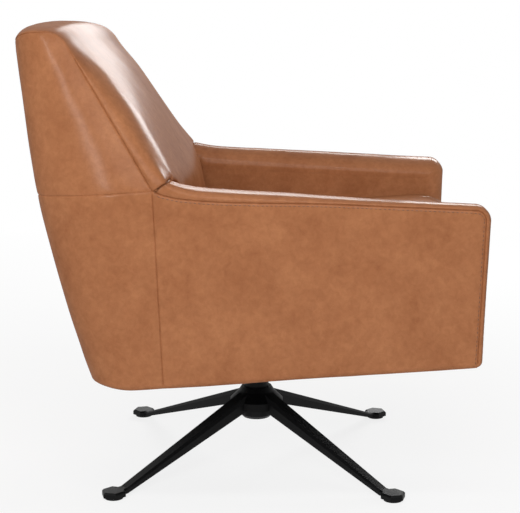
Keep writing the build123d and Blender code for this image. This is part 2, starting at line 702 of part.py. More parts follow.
with BuildPart() as upper_back_cover:
    add(shell(AT_SEAM, AT_TOP))
    add(shell(AT_SEAM, AT_TOP, COVER), mode=Mode.SUBTRACT)
    with BuildSketch(slab(REACH)):
        with BuildLine():
            Line(slope(0), SLOPE_END)
            CenterArc(ROLL_CENTRE, WING_ROUND, RECLINE, ROLL_TURN)
            Polyline((ROLL_CENTRE[0], WING_TOP), (-REACH, WING_TOP), (-REACH, SEAM_HEIGHT), slope(0))
        make_face()
    extrude(amount=2 * REACH, mode=Mode.INTERSECT)
save(upper_back_cover.part, "upper_back_cover")

# Arms: outer cover, top and front band, and the pad that faces the seat
ARM_INNER = HALF_WIDTH - ARM_WIDTH


def arm_profile(inset, foot, rear_foot, rear_top):
    """Side view of the arm, set in from its top and front, from height foot up to its top."""
    reach = (front_face(arm_top(0) - inset) - inset) / (1 + FRONT_RUN * ARM_FALL)
    corner = (reach, arm_top(reach) - inset)
    top = (rear_top, arm_top(rear_top) - inset)
    toe = (front_face(foot) - inset, foot)
    with BuildLine() as outline:
        FilletPolyline(top, corner, toe, radius=ARM_CORNER_ROUND - inset)
        Polyline(toe, (rear_foot, foot), top)
    make_face(outline.edges())


with BuildPart() as outer_side_cover:
    with BuildSketch(slab(HALF_WIDTH)):
        arm_profile(BAND_THICKNESS, 0, SIDE_SEAM_FOOT, -REAR_SEAM)
    extrude(amount=COVER)
    fillet(outer_side_cover.faces().sort_by(Axis.Y)[-1].edges().sort_by(BODY_UP)[0], BOTTOM_ROUND)
save_pair(outer_side_cover.part, "outer_side_cover")

with BuildPart() as arm_band:
    with BuildSketch(slab(HALF_WIDTH)):
        arm_profile(0, 0, -REAR_SEAM, -REAR_SEAM)
    extrude(amount=ARM_WIDTH)
    arm_sides = arm_band.faces().sort_by(Axis.Y)
    fillet(
        arm_sides[0].edges().sort_by(BODY_DIAGONAL)[2:] + arm_sides[-1].edges().sort_by(BODY_DIAGONAL)[2:],
        BAND_EDGE_ROUND,
    )
    with BuildSketch(slab(REACH)):
        arm_profile(BAND_THICKNESS, 0, -REACH, -REACH)
    extrude(amount=2 * REACH, mode=Mode.SUBTRACT)
save_pair(arm_band.part, "arm_band")

with BuildPart() as inner_arm_pad:
    with BuildSketch(slab(FRAME_HALF)):
        arm_profile(BAND_THICKNESS, DECK + SOFT_GAP, SOFT_GAP - REAR_SEAM, SOFT_GAP - REAR_SEAM)
    extrude(amount=FRAME_HALF - ARM_INNER)
    fillet(inner_arm_pad.faces().sort_by(Axis.Y)[0].edges(), ARM_PAD_ROUND)
save_pair(inner_arm_pad.part, "inner_arm_pad")

# Back cushion: a crowned pad up the slope and over the top, and a lumbar part between the arms


def crowned(plane, half, base, edge, crown, rim_out, rim_up):
    """Cushion section: flat underside, upright sides, round rims and one arc over the middle."""
    halfway = sqrt(0.5)
    inner, low = half - rim_out, edge - rim_up
    bend = (inner + rim_out * halfway, low + rim_up * halfway)
    with BuildSketch(plane) as section:
        with BuildLine() as outline:
            Line((-half, base), (half, base))
            Line((half, base), (half, low))
            ThreePointArc((half, low), bend, (inner, edge))
            ThreePointArc((inner, edge), (0, crown), (-inner, edge))
            ThreePointArc((-inner, edge), (-bend[0], bend[1]), (-half, low))
            Line((-half, low), (-half, base))
        make_face(outline.edges())
    return section.sketch.face()


def back_section(u, h, lean, half, edge, crown):
    """Section of the back cushion at a point of its path."""
    return crowned(across(u, h, lean), half, CUSHION_GAP, edge, crown, BACK_RIM, edge * RIM_SHARE)


def half_at(h):
    """Half-width of the body above the horizontal seam."""
    return HALF_WIDTH - (HALF_WIDTH - TOP_HALF_WIDTH) * (h - SEAM_HEIGHT) / (WING_TOP - SEAM_HEIGHT)


back_sections = []
for share in (0, BACK_SHOULDER, 1):
    u, h = slope(share * SLOPE_LENGTH)
    fade = (share == 1) / 2
    edge = BACK_EDGE + (ROLL_EDGE - BACK_EDGE) * fade
    crown = BACK_CROWN + (ROLL_CROWN - BACK_CROWN) * fade
    back_sections.append(back_section(u, h, RECLINE, half_at(h), edge, crown))
for step in range(1, ROLL_STEPS + 1):
    fade = 0.5 + step / ROLL_STEPS / 2
    lean = RECLINE + ROLL_TURN * step / ROLL_STEPS
    u = ROLL_CENTRE[0] + WING_ROUND * cos(radians(lean))
    h = ROLL_CENTRE[1] + WING_ROUND * sin(radians(lean))
    edge = BACK_EDGE + (ROLL_EDGE - BACK_EDGE) * fade
    crown = BACK_CROWN + (ROLL_CROWN - BACK_CROWN) * fade
    back_sections.append(back_section(u, h, lean, half_at(h), edge, crown))
for share in (0.5, 1):
    u = ROLL_CENTRE[0] + (ROLL_END_INSET - REAR_AT_TOP - ROLL_CENTRE[0]) * share
    crown = ROLL_CROWN + (ROLL_END_CROWN - ROLL_CROWN) * share
    back_sections.append(back_section(u, WING_TOP, 90, top_half(u), ROLL_EDGE, crown))

LUMBAR_HALF = ARM_INNER - SOFT_GAP
LUMBAR_FOOT = DECK + CUSHION_GAP
lumbar_sections = [
    crowned(
        across(-REAR_SEAM, LUMBAR_FOOT, 0),
        LUMBAR_HALF,
        CUSHION_GAP,
        LUMBAR_EDGE - LUMBAR_TAPER,
        LUMBAR_CROWN - LUMBAR_TAPER,
        LUMBAR_RIM,
        LUMBAR_RIM,
    ),
    crowned(
        across(-REAR_SEAM, SEAM_HEIGHT - LUMBAR_WAIST, 0),
        LUMBAR_HALF,
        CUSHION_GAP,
        LUMBAR_EDGE,
        LUMBAR_CROWN,
        LUMBAR_RIM,
        LUMBAR_RIM,
    ),
    crowned(
        across(-REAR_SEAM, SEAM_HEIGHT, RECLINE),
        LUMBAR_HALF,
        CUSHION_GAP,
        BACK_EDGE,
        BACK_CROWN - SOFT_GAP,
        LUMBAR_RIM,
        BACK_EDGE * RIM_SHARE,
    ),
]

with BuildPart() as back_cushion:
    loft(back_sections, ruled=True)
    loft(lumbar_sections, ruled=True)
save(back_cushion.part, "back_cushion")

# Seat cushion and the apron under its front
SEAT_BASE = DECK + CUSHION_GAP
SEAT_HALF = ARM_INNER - SOFT_GAP
SEAT_FRONT = front_face((SEAT_BASE + SEAT_EDGE_HEIGHT) / 2) + SEAT_FRONT_BULGE
SEAT_REAR = LUMBAR_CROWN + SOFT_GAP - REAR_SEAM


def seat_section(u, draw):
    """Section of the seat cushion at u, drawn in all round near its two ends."""
    return crowned(
        upright(u),
        SEAT_HALF - draw / 2,
        SEAT_BASE + draw / 2,
        SEAT_EDGE_HEIGHT - draw,
        SEAT_EDGE_HEIGHT + SEAT_CROWN - draw,
        SEAT_RIM,
        SEAT_RIM,
    )


seat_turns = [radians(90 * step / SEAT_ROUND_STEPS) for step in range(SEAT_ROUND_STEPS + 1)]
seat_sections = []
for turn in reversed(seat_turns):
    seat_sections.append(
        seat_section(SEAT_REAR + SEAT_REAR_ROUND * (1 - sin(turn)), SEAT_REAR_ROUND * (1 - cos(turn)))
    )
for turn in seat_turns:
    seat_sections.append(
        seat_section(SEAT_FRONT - SEAT_FRONT_ROUND * (1 - sin(turn)), SEAT_FRONT_ROUND * (1 - cos(turn)))
    )

with BuildPart() as seat_cushion:
    loft(seat_sections, ruled=True)
save(seat_cushion.part, "seat_cushion")

APRON_TOP = DECK - APRON_TOP_GAP

with BuildPart() as front_apron:
    panel(
        (
            (FRAME_FRONT, 0),
            (front_face(0), 0),
            (front_face(APRON_TOP), APRON_TOP),
            (FRAME_FRONT, APRON_TOP),
        ),
        CUSHION_GAP - ARM_INNER,
        ARM_INNER - CUSHION_GAP,
    )
save(front_apron.part, "front_apron")

# Dust cover under the frame
DUST_INSET = COVER + DUST_COVER_GAP
DUST_HALF = HALF_WIDTH - DUST_INSET
DUST_REAR = DUST_INSET - REAR_AT_BOTTOM
DUST_FRONT = FRAME_FRONT - DUST_COVER_GAP

with BuildPart() as dust_cover:
    with BuildSketch(level(FRAME_BOTTOM - DUST_COVER)) as cloth:
        Polygon(
            (DUST_FRONT, DUST_HALF),
            (DUST_REAR, DUST_HALF),
            (DUST_REAR, -DUST_HALF),
            (DUST_FRONT, -DUST_HALF),
            align=None,
        )
        fillet(cloth.vertices().sort_by(Axis.X)[:2], BODY_CORNER - DUST_INSET)
        Circle(DUST_HOLE_DIAMETER / 2, mode=Mode.SUBTRACT)
    extrude(amount=DUST_COVER)
save(dust_cover.part, "dust_cover")
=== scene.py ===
"""Leather lounge armchair on a four-legged swivel base: its soft forms and its finishes.

Lengths are in metres. The origin is on the floor, on the swivel axis, with +X towards the
front of the seat. The upholstered body has its own frame, u forward, v left and h up, which
leans back on the base.
"""

import json
from collections import namedtuple
from math import cos, pi, radians, sin, tan

import bpy
import numpy as np
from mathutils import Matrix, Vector, noise


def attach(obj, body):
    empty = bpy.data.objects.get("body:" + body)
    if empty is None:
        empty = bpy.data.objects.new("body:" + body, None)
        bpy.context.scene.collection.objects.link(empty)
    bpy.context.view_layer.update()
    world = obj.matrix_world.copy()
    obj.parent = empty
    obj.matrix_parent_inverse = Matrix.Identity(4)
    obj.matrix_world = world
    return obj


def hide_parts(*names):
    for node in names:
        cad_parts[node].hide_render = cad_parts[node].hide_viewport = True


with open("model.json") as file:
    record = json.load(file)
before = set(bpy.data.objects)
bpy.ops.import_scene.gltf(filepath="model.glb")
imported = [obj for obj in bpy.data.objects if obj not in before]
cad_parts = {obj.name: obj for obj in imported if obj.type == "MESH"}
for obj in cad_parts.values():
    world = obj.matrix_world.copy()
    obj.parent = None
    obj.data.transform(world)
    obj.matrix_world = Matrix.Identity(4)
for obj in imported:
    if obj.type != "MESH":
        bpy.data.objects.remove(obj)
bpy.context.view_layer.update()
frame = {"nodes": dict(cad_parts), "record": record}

# Body of the chair
BODY_HEIGHT = 0.243
BODY_TILT = radians(4.3)
HALF_WIDTH = 0.372
TOP_HALF_WIDTH = 0.306
SEAM_HEIGHT = 0.315
WING_TOP = 0.571
REAR_AT_BOTTOM = 0.261
REAR_AT_SEAM = 0.322
REAR_AT_TOP = 0.340
CORNER_AT_BOTTOM = 0.072
CORNER_AT_SEAM = 0.074
CORNER_AT_TOP = 0.046
TURN_AT_BOTTOM = 0.084
TURN_AT_SEAM = 0.165
TURN_AT_TOP = 0.052
REAR_SEAM = 0.129
SIDE_SEAM_FOOT = 0.139
RECLINE = radians(27.3)
WING_ROUND = 0.042
REAR_DROP = 0.015
REAR_DROP_REACH = 0.034
FOOT = -0.0025
BOTTOM_ROUND = 0.009
REAR_TUCK = 0.006
REAR_TUCK_REACH = 0.060
UNDERSIDE_RUN = 0.014
REAR_BOW = 0.004

# Arms
ARM_WIDTH = 0.091
ARM_FALL = tan(radians(6.6))
ARM_FRONT = 0.367
FRONT_RUN = tan(radians(6.1))
ARM_CORNER = 0.025
SEAM_DROP_REAR = 0.013
SEAM_DROP_FRONT = 0.0085
SEAM_DROP_FROM = -0.045
SEAM_DROP_RUN = 0.21
FLARE_REACH = 0.025
BAND_OUTER_ROUND = 0.009
BAND_OUTER_WIDE = 0.015
BAND_OUTER_SHARE = 0.75
BAND_INNER_ROUND_REAR = 0.040
BAND_INNER_ROUND_TOP = 0.070
BAND_INNER_ROUND_FRONT = 0.030
BAND_INNER_DEPTH = 0.030
BAND_CROWN = 0.0025
BAND_FLAP = 0.042
BAND_FRONT_FALL = 0.0015
BAND_LIFTED = 0.012
BAND_BURY = 0.006
BAND_TAIL_RISE = 0.003
BAND_TAIL_SINK = 0.006
PAD_TUCK = 0.0004
PAD_OVERLAP = 0.007
PAD_THICK = 0.012
PAD_LIFT = 0.002
PAD_STEPS = 4
CREST = {1: 0.018, -1: 0.028}
CREST_RIM = 0.012
CREST_FADE = 0.060
CREST_BLEND = 0.004

# Back cushion
RIM_REACH = {1: 0.040, -1: 0.080}
RIM_HEIGHT = {1: 0.006, -1: 0.030}
RIM_POWER = 2.2
BACK_CROWN = 0.018
BACK_SHOULDER = 0.38
ROLL_RIM_HEIGHT = 0.008
ROLL_CROWN = 0.010
TURN_EASE = 0.008
TURN_EASE_REACH = 0.050
ROLL_END_REACH = 0.020
BACK_SKIN = 0.004
LUMBAR_HALF = 0.2805
LUMBAR_DEPTH = 0.241
LUMBAR_BEND = 0.050
LUMBAR_EASE = 0.100
LUMBAR_EDGE = 0.010
LUMBAR_CROWN = 0.035
LUMBAR_TAIL = 0.030
LUMBAR_LAP = 0.005
LUMBAR_POINTS = 400

# Seat cushion and apron
DECK = 0.0736
SEAT_REAR = -0.070
SEAT_FRONT = 0.3925
SEAT_TOP = 0.189
SEAT_CROWN = 0.016
SEAT_BULGE = 0.015
SEAT_BULGE_REACH = 0.120
SEAT_WRAP = 0.028
SEAT_HALF = 0.279
SEAT_CLEAR = 0.001
SEAT_LIFT = 0.004
SEAT_INSET = 0.009
SEAT_ROUND = 0.026
SEAT_VOXEL = 0.006
SEAT_SWELL = 0.014
SEAT_FRAMES = 20
SEAT_PRESSURE = 4.0
APRON_TOP = 0.0717
APRON_CLEAR = 0.0004
APRON_SET_BACK = 0.0005

# Mesh density of the leather panels and points of their seams
PANEL_STEP = 0.0042
EDGE_STEP = 0.0005
EDGE_GROWTH = 1.32
LEATHER = 0.006
ROUND_ROWS = 12
FOOT_ROWS = 6
ARM_TURN_ROWS = 26
TOP_ROWS = 19
WRAP_SIDE = 0.18
WRAP_TURN_COLUMNS = 34
WRAP_BACK_COLUMNS = 130
SEAM_POINTS = 120
UPRIGHT_SEAM_POINTS = 110
WING_SEAM_POINTS = 150
ARM_SEAM_POINTS = {"front": 90, "turn": 24, "top": 180}
ARM_BACK_POINTS = {"over": 40, "down": 140}
ARM_BACK_CROWDING = 1.5
BAND_FLAT_COLUMNS = 18
BAND_BEND_COLUMNS = 24
NEAREST_BATCH = 2000
SEARCH_STEPS = 40
SEARCH_ABOVE = 0.01
LEVEL_SLACK = 1e-6
TINY = 1e-12

TILT_COS, TILT_SIN = cos(BODY_TILT), sin(BODY_TILT)
LEAN_COS, LEAN_SIN = cos(RECLINE), sin(RECLINE)
JUNCTION = np.array((-REAR_SEAM, SEAM_HEIGHT))
SLOPE_LENGTH = (WING_TOP - WING_ROUND - SEAM_HEIGHT + WING_ROUND * LEAN_SIN) / LEAN_COS
SLOPE_END = JUNCTION + SLOPE_LENGTH * np.array((-LEAN_SIN, LEAN_COS))
ROLL_CENTRE = SLOPE_END - WING_ROUND * np.array((LEAN_COS, LEAN_SIN))
ROLL_ARC = WING_ROUND * (pi / 2 - RECLINE)
ROLL_RUN = REAR_AT_TOP + ROLL_CENTRE[0]
PATH_END = SLOPE_LENGTH + ROLL_ARC + ROLL_RUN

USUAL_SEAM = (0.0014, 0.0012, 0.0012, 0.012, 0.00025)
Seam = namedtuple("Seam", "line depth width puff reach pucker", defaults=USUAL_SEAM)
SIDE_NAME = {1: "left", -1: "right"}


def to_frame(points):
    """Body coordinates to the chair's frame."""
    u, v, h = np.moveaxis(points, -1, 0)
    x = u * TILT_COS - h * TILT_SIN
    z = BODY_HEIGHT + u * TILT_SIN + h * TILT_COS
    return np.stack((x, v, z), axis=-1)


def from_frame(points):
    """The chair's frame to body coordinates."""
    x, y, z = np.moveaxis(points, -1, 0)
    z = z - BODY_HEIGHT
    return np.stack((x * TILT_COS + z * TILT_SIN, y, z * TILT_COS - x * TILT_SIN), axis=-1)


def stack(u, v, h):
    """Body points from coordinates of any matching shapes."""
    return np.stack(np.broadcast_arrays(u, v, h), axis=-1).astype(float)


def heading(turn):
    """Unit vectors at angles in the side view."""
    return np.stack((np.cos(turn), np.sin(turn)), -1)


def mix(first, second, share):
    return first + (second - first) * share


def smooth(share):
    """Ease from 0 to 1."""
    share = np.clip(share, 0, 1)
    return share * share * (3 - 2 * share)


def graded(length, first=True, last=True):
    """Shares from 0 to 1 along a length, closer together at its sewn ends."""
    places, size = [0.0], EDGE_STEP
    while places[-1] < length / 2:
        places.append(places[-1] + size)
        size = min(size * EDGE_GROWTH, PANEL_STEP)
    fine = np.array(places) / places[-1] / 2
    even = np.linspace(0, 0.5, max(int(length / 2 / PANEL_STEP), 2))
    start = fine if first else even
    end = fine if last else even
    return np.concatenate((start, 1 - end[-2::-1]))


# Seams, puckers and the swell of the leather between them
def nearest_on(points, line):
    """Distance from points to a line, and how far along it."""
    run = np.diff(line, axis=0)
    lengths = np.linalg.norm(run, axis=1)
    begun = np.cumsum(lengths) - lengths
    gaps, along = np.empty(len(points)), np.empty(len(points))
    for part in np.array_split(np.arange(len(points)), len(points) // NEAREST_BATCH + 1):
        offset = points[part, None] - line[:-1]
        share = np.clip((offset * run).sum(-1) / lengths**2, 0, 1)
        gap = np.linalg.norm(offset - share[..., None] * run, axis=-1)
        best = gap.argmin(1)
        rows = np.arange(len(part))
        gaps[part] = gap[rows, best]
        along[part] = begun[best] + share[rows, best] * lengths[best]
    return gaps, along


SEAM_POWER = 1.4
PUCKER_PITCH = 0.0105
PUCKER_REACH = 0.011
PUCKER_START = 0.0025
WANDER = 1.9
WANDER_PITCH = 0.031
JITTER = 1.3
JITTER_PITCH = 0.0137
JITTER_START = 2.0
FADE = 0.4
FADE_PITCH = 0.052
FADE_START = 1.0
SWELL_PITCH = 0.16
SWELL = 0.0011
CREASE_PITCH = 0.045
CREASE = 0.00035


def pucker_wave(along):
    drift = WANDER * np.sin(along / WANDER_PITCH)
    drift = drift + JITTER * np.sin(along / JITTER_PITCH + JITTER_START)
    strength = 1 - FADE + FADE * np.sin(along / FADE_PITCH + FADE_START)
    return strength * np.sin(2 * pi * along / PUCKER_PITCH + drift)


def unevenness(points):
    """Slow swell and slight creasing of stretched leather."""
    broad = np.array([noise.noise(Vector(p) / SWELL_PITCH) for p in points])
    close = np.array([noise.noise(Vector(p) / CREASE_PITCH) for p in points])
    return SWELL * broad + CREASE * close


def relief(points, seams):
    """How far each point stands out from the plain form."""
    rise = unevenness(points)
    for seam in seams:
        gap, along = nearest_on(points, seam.line)
        rise -= seam.depth * np.exp(-((gap / seam.width) ** SEAM_POWER))
        rise -= seam.puff * np.exp(-gap / seam.reach)
        fade = np.exp(-gap / PUCKER_REACH) * gap / (gap + PUCKER_START)
        rise += seam.pucker * pucker_wave(along) * fade
    return rise


def normals_of(grid):
    """Unit normals of a grid of points."""
    normal = np.cross(np.gradient(grid, axis=0), np.gradient(grid, axis=1))
    return normal / np.maximum(np.linalg.norm(normal, axis=-1, keepdims=True), TINY)


def linked(name, data):
    item = bpy.data.objects.new(name, data)
    bpy.context.scene.collection.objects.link(item)
    return item


def mesh_object(name, vertices, faces, material):
    mesh = bpy.data.meshes.new(name)
    mesh.from_pydata([tuple(p) for p in vertices], [], faces)
    mesh.validate()
    mesh.shade_smooth()
    mesh.materials.append(material)
    return linked(name, mesh)


def grid_faces(rows, columns, keep=None):
    """Quads of a grid, or of its kept cells."""
    faces = []
    for i in range(rows - 1):
        for j in range(columns - 1):
            if keep is None or keep[i, j]:
                low = i * columns + j
                faces.append((low, low + 1, low + columns + 1, low + columns))
    return faces


def ring_faces(rings, sides, begin=0):
    """Quads between closed rings of points."""
    faces = []
    for ring in range(rings - 1):
        low = begin + ring * sides
        for k in range(sides):
            beside = (k + 1) % sides
            faces.append((low + k, low + beside, low + sides + beside, low + sides + k))
    return faces


def leather_piece(name, grid, seams, outward, keep=None, thickness=LEATHER, form=None):
    """Closed panel: a grid with relief, and a wall behind it, along the form's normals."""
    normal = normals_of(grid if form is None else form)
    middle = (grid.shape[0] // 2, grid.shape[1] // 2)
    faces = grid_faces(*grid.shape[:2], keep)
    if np.dot(normal[middle], np.asarray(outward) - grid[middle]) < 0:
        normal = -normal
    else:
        faces = [face[::-1] for face in faces]
    rise = relief(grid.reshape(-1, 3), seams).reshape(grid.shape[:2])
    outer = grid + normal * rise[..., None]
    points = to_frame(np.stack((outer, outer - normal * thickness))).reshape(-1, 3)
    behind = len(points) // 2
    edges = {pair for face in faces for pair in zip(face, face[1:] + face[:1])}
    rims = [(b, a, a + behind, b + behind) for a, b in edges if (b, a) not in edges]
    backs = [tuple(corner + behind for corner in face[::-1]) for face in faces]
    return mesh_object(name, points, faces + backs + sorted(rims), leather)


def fitted(piece, body, slot, *nodes):
    """Piece that moves with a body and stands for nodes of the frame."""
    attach(piece, body)
    if nodes:
        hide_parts(*nodes)
    return piece


# Procedural finishes
class Tree:
    """Nodes of a material or the world. Textures are in cells to the metre."""

    def __init__(self, owner):
        owner.use_nodes = True
        self.owner = owner
        self.links = owner.node_tree.links
        self.nodes = owner.node_tree.nodes

    def feed(self, node, inputs):
        """Link outputs to a node's inputs, or set plain values there."""
        for key, value in inputs.items():
            if isinstance(value, bpy.types.NodeSocket):
                self.links.new(value, node.inputs[key])
            else:
                node.inputs[key].default_value = value

    def add(self, kind, inputs, **settings):
        node = self.nodes.new(f"ShaderNode{kind}")
        for key, value in settings.items():
            setattr(node, key, value)
        self.feed(node, inputs)
        return node

    def place(self):
        return self.nodes.new("ShaderNodeTexCoord").outputs["Object"]

    def texture(self, kind, scale, detail, **inputs):
        inputs.update(Vector=self.place(), Scale=scale, Detail=detail)
        return self.add(f"Tex{kind}", inputs)

    def noise(self, scale, detail, rough, bent=0.0):
        node = self.texture("Noise", scale, detail, Roughness=rough, Distortion=bent)
        return node.outputs["Fac"]

    def wave(self, scale, detail, bent, bands):
        node = self.texture("Wave", scale, detail, Distortion=bent)
        node.bands_direction = bands
        return node.outputs["Fac"]

    def pebbles(self, scale):
        return self.texture("Voronoi", scale, 1.0, Randomness=1.0).outputs["Distance"]

    def ramp(self, source, *stops):
        """Colour ramp over an output, from (place, colour) stops."""
        node = self.add("ValToRGB", {"Fac": source})
        elements = node.color_ramp.elements
        while len(elements) < len(stops):
            elements.new(0.5)
        for element, (place, colour) in zip(elements, stops):
            element.position = place
            element.color = (*colour, 1.0)
        return node.outputs["Color"]

    def multiply(self, share, first, second):
        inputs = {"Factor": share, 6: first, 7: second}
        return self.add("Mix", inputs, data_type="RGBA", blend_type="MULTIPLY").outputs[2]

    def bump(self, height, distance, strength, **below):
        inputs = {"Height": height, "Distance": distance, "Strength": strength, **below}
        return self.add("Bump", inputs).outputs["Normal"]

    def span(self, source, low, high, start=0.0, end=1.0):
        """Output between start and end, stretched between two values."""
        inputs = {"Value": source, "From Min": start, "From Max": end}
        inputs.update({"To Min": low, "To Max": high})
        return self.add("MapRange", inputs).outputs["Result"]

    def math(self, operation, first, second):
        return self.add("Math", {0: first, 1: second}, operation=operation).outputs["Value"]

    def surface(self, inputs):
        """The material, with its shader's inputs linked or set."""
        self.feed(self.nodes["Principled BSDF"], inputs)
        return self.owner


def new_finish(name):
    return Tree(bpy.data.materials.new(name))


# Noise: scale, detail, roughness, distortion. Bump: distance, strength
WHITE = (1.0, 1.0, 1.0)
LEATHER_CLOUD = (11.0, 6.0, 0.68, 0.4)
LEATHER_PATCH = (95.0, 5.0, 0.7, 0.5)
LEATHER_WEAR = (42.0, 5.0, 0.65)
LEATHER_CREASE = (120.0, 4.0, 0.6, 1.2)
LEATHER_GRAIN = 820.0
CREASE_BUMP = (0.0006, 0.30)
GRAIN_BUMP = (0.00022, 0.5)
COAT_CLOUD = (18.0, 5.0, 0.65)
STEEL_STAIN = (60.0, 4.0, 0.6)
WOOD_FLECK = (220.0, 3.0, 0.7)
LEATHER_DYE = (
    (0.26, (0.330, 0.122, 0.050)),
    (0.48, (0.400, 0.158, 0.068)),
    (0.74, (0.460, 0.190, 0.084)),
)
LEATHER_MOTTLE = ((0.28, (0.80, 0.78, 0.76)), (0.66, WHITE))
LEATHER_FURROW = ((0.0, (0.90, 0.87, 0.85)), (0.45, WHITE))
LEATHER_ROUGH = (0.42, 0.62)
THREAD_TONE = ((0.1, (0.10, 0.036, 0.014)), (0.8, (0.22, 0.085, 0.036)))
TIMBER_FLECK = ((0.35, (0.78, 0.74, 0.70)), (0.6, WHITE))
TIMBER_ROUGH = (0.55, 0.8)


def leather_finish():
    """Tan aniline leather: cloudy dye, mottling and pebble grain, darker in the furrows."""
    tree = new_finish("tan_leather")
    dye = tree.ramp(tree.noise(*LEATHER_CLOUD), *LEATHER_DYE)
    mottle = tree.ramp(tree.noise(*LEATHER_PATCH), *LEATHER_MOTTLE)
    grain = tree.pebbles(LEATHER_GRAIN)
    furrow = tree.ramp(grain, *LEATHER_FURROW)
    worn = tree.noise(*LEATHER_WEAR)
    crease = tree.bump(tree.noise(*LEATHER_CREASE), *CREASE_BUMP)
    return tree.surface({
        "Base Color": tree.multiply(0.5, tree.multiply(1.0, dye, mottle), furrow),
        "Roughness": tree.span(worn, *LEATHER_ROUGH),
        "Normal": tree.bump(grain, *GRAIN_BUMP, Normal=crease),
        "Specular IOR Level": 0.0,
        "Coat Weight": 0.17,
        "Coat Roughness": 0.19,
    })


def thread_finish():
    tree = new_finish("brown_thread")
    twist = tree.wave(1400.0, 1.0, 0.6, "DIAGONAL")
    return tree.surface({
        "Base Color": tree.ramp(twist, *THREAD_TONE),
        "Normal": tree.bump(twist, 0.0002, 0.6),
        "Roughness": 0.6,
        "Sheen Weight": 0.15,
    })


def grained_finish(name, kind):
    """Coated or moulded surface with a fine orange-peel grain."""
    tree = new_finish(name)
    shade = tree.noise(*COAT_CLOUD)
    return tree.surface({
        "Base Color": tree.ramp(shade, (0.3, kind.dark), (0.72, kind.light)),
        "Roughness": tree.span(shade, *kind.rough),
        "Normal": tree.bump(tree.noise(kind.scale, 3.0, 0.55), kind.bump, 0.6),
        "Specular IOR Level": kind.gloss,
    })


def turned_finish(name, dark, light, rough):
    """Turned metal: fine rings about the swivel axis, and a few stains."""
    tree = new_finish(name)
    rings = tree.wave(900.0, 2.0, 1.5, "Z")
    return tree.surface({
        "Base Color": tree.ramp(tree.noise(*STEEL_STAIN), (0.32, dark), (0.68, light)),
        "Roughness": tree.span(rings, *rough),
        "Normal": tree.bump(rings, 0.00004, 0.5),
        "Metallic": 1.0,
    })


def timber_finish(name, dark, light, plies):
    """Hardwood, or plywood with its plies on edge."""
    tree = new_finish(name)
    grain = tree.wave(60.0, 6.0, 5.0, plies)
    fleck = tree.noise(*WOOD_FLECK)
    tone = tree.ramp(grain, (0.2, dark), (0.8, light))
    return tree.surface({
        "Base Color": tree.multiply(1.0, tone, tree.ramp(fleck, *TIMBER_FLECK)),
        "Roughness": tree.span(fleck, *TIMBER_ROUGH),
        "Normal": tree.bump(grain, 0.0003, 0.5),
    })


def woven_finish(name, dark, light, pitch):
    """Plain weave."""
    tree = new_finish(name)
    warp, weft = (tree.wave(pitch, 1.0, 0.4, bands) for bands in ("X", "Y"))
    cross = tree.multiply(1.0, warp, weft)
    return tree.surface({
        "Base Color": tree.ramp(cross, (0.1, dark), (0.7, light)),
        "Normal": tree.bump(cross, 0.0004, 0.8),
        "Roughness": 0.85,
        "Sheen Weight": 0.2,
    })


leather = leather_finish()
thread = thread_finish()
Grained = namedtuple("Grained", "dark light rough scale bump gloss", defaults=(0.5,))
COATED = Grained((0.002, 0.002, 0.0022), (0.0042, 0.0042, 0.0046), (0.4, 0.55), 1500, 0.00012, 0.12)
MOULDED = Grained((0.004, 0.004, 0.0044), (0.008, 0.008, 0.009), (0.38, 0.55), 900, 0.00015, 0.15)
BLACK_NYLON = Grained((0.006, 0.006, 0.006), (0.011, 0.011, 0.0115), (0.5, 0.68), 700, 0.00018, 0.2)
PLAIN_NYLON = Grained((0.62, 0.60, 0.54), (0.74, 0.72, 0.66), (0.35, 0.5), 700, 0.0001)
BEARING = ((0.50, 0.50, 0.51), (0.66, 0.66, 0.67), (0.16, 0.28))
TURNED = ((0.44, 0.44, 0.45), (0.60, 0.60, 0.61), (0.24, 0.40))
ZINC = ((0.46, 0.47, 0.48), (0.62, 0.63, 0.62), (0.30, 0.48))
BRASS = ((0.56, 0.40, 0.16), (0.70, 0.52, 0.24), (0.24, 0.38))
BEECH = ((0.42, 0.27, 0.14), (0.58, 0.41, 0.24))
BIRCH = ((0.50, 0.36, 0.21), (0.66, 0.51, 0.33))
JUTE = ((0.20, 0.15, 0.09), (0.46, 0.37, 0.25))
BLACK_CLOTH = ((0.008, 0.008, 0.009), (0.032, 0.032, 0.034))
FINISHES = {
    "leather": leather,
    "black_metal": grained_finish("black_powder_coat", COATED),
    "black_plastic": grained_finish("black_moulding", MOULDED),
    "black_nylon": grained_finish("black_nylon", BLACK_NYLON),
    "white_nylon": grained_finish("natural_nylon", PLAIN_NYLON),
    "bearing_steel": turned_finish("bearing_steel", *BEARING),
    "bright_steel": turned_finish("turned_steel", *TURNED),
    "zinc_steel": turned_finish("zinc_plate", *ZINC),
    "brass_cage": turned_finish("cage_brass", *BRASS),
    "timber": timber_finish("beech_rail", *BEECH, "Z"),
    "plywood": timber_finish("birch_ply", *BIRCH, "Y"),
    "webbing": woven_finish("jute_webbing", *JUTE, 420.0),
    "dust_cloth": woven_finish("black_dust_cloth", *BLACK_CLOTH, 640.0),
}


def dress_frame():
    """Finish of every carried-over node, by its material slot in the record."""
    for part in frame["record"]["subparts"]:
        mesh = frame["nodes"][part["node"]].data
        mesh.materials.clear()
        mesh.materials.append(FINISHES[part["material_slot"]])


# Lines of the body
def arm_top(u):
    return SEAM_HEIGHT - (u + REAR_SEAM) * ARM_FALL


def front_face(h):
    return ARM_FRONT + h * FRONT_RUN


def band_drop(u):
    """Depth of the arm's outer seam below its top."""
    share = smooth((u - SEAM_DROP_FROM) / SEAM_DROP_RUN)
    return mix(SEAM_DROP_REAR, SEAM_DROP_FRONT, share)


def seam_drop(u):
    """The same, less where the seam runs up to the junction."""
    return band_drop(u) * (1 - np.exp(-(u + REAR_SEAM) / FLARE_REACH))


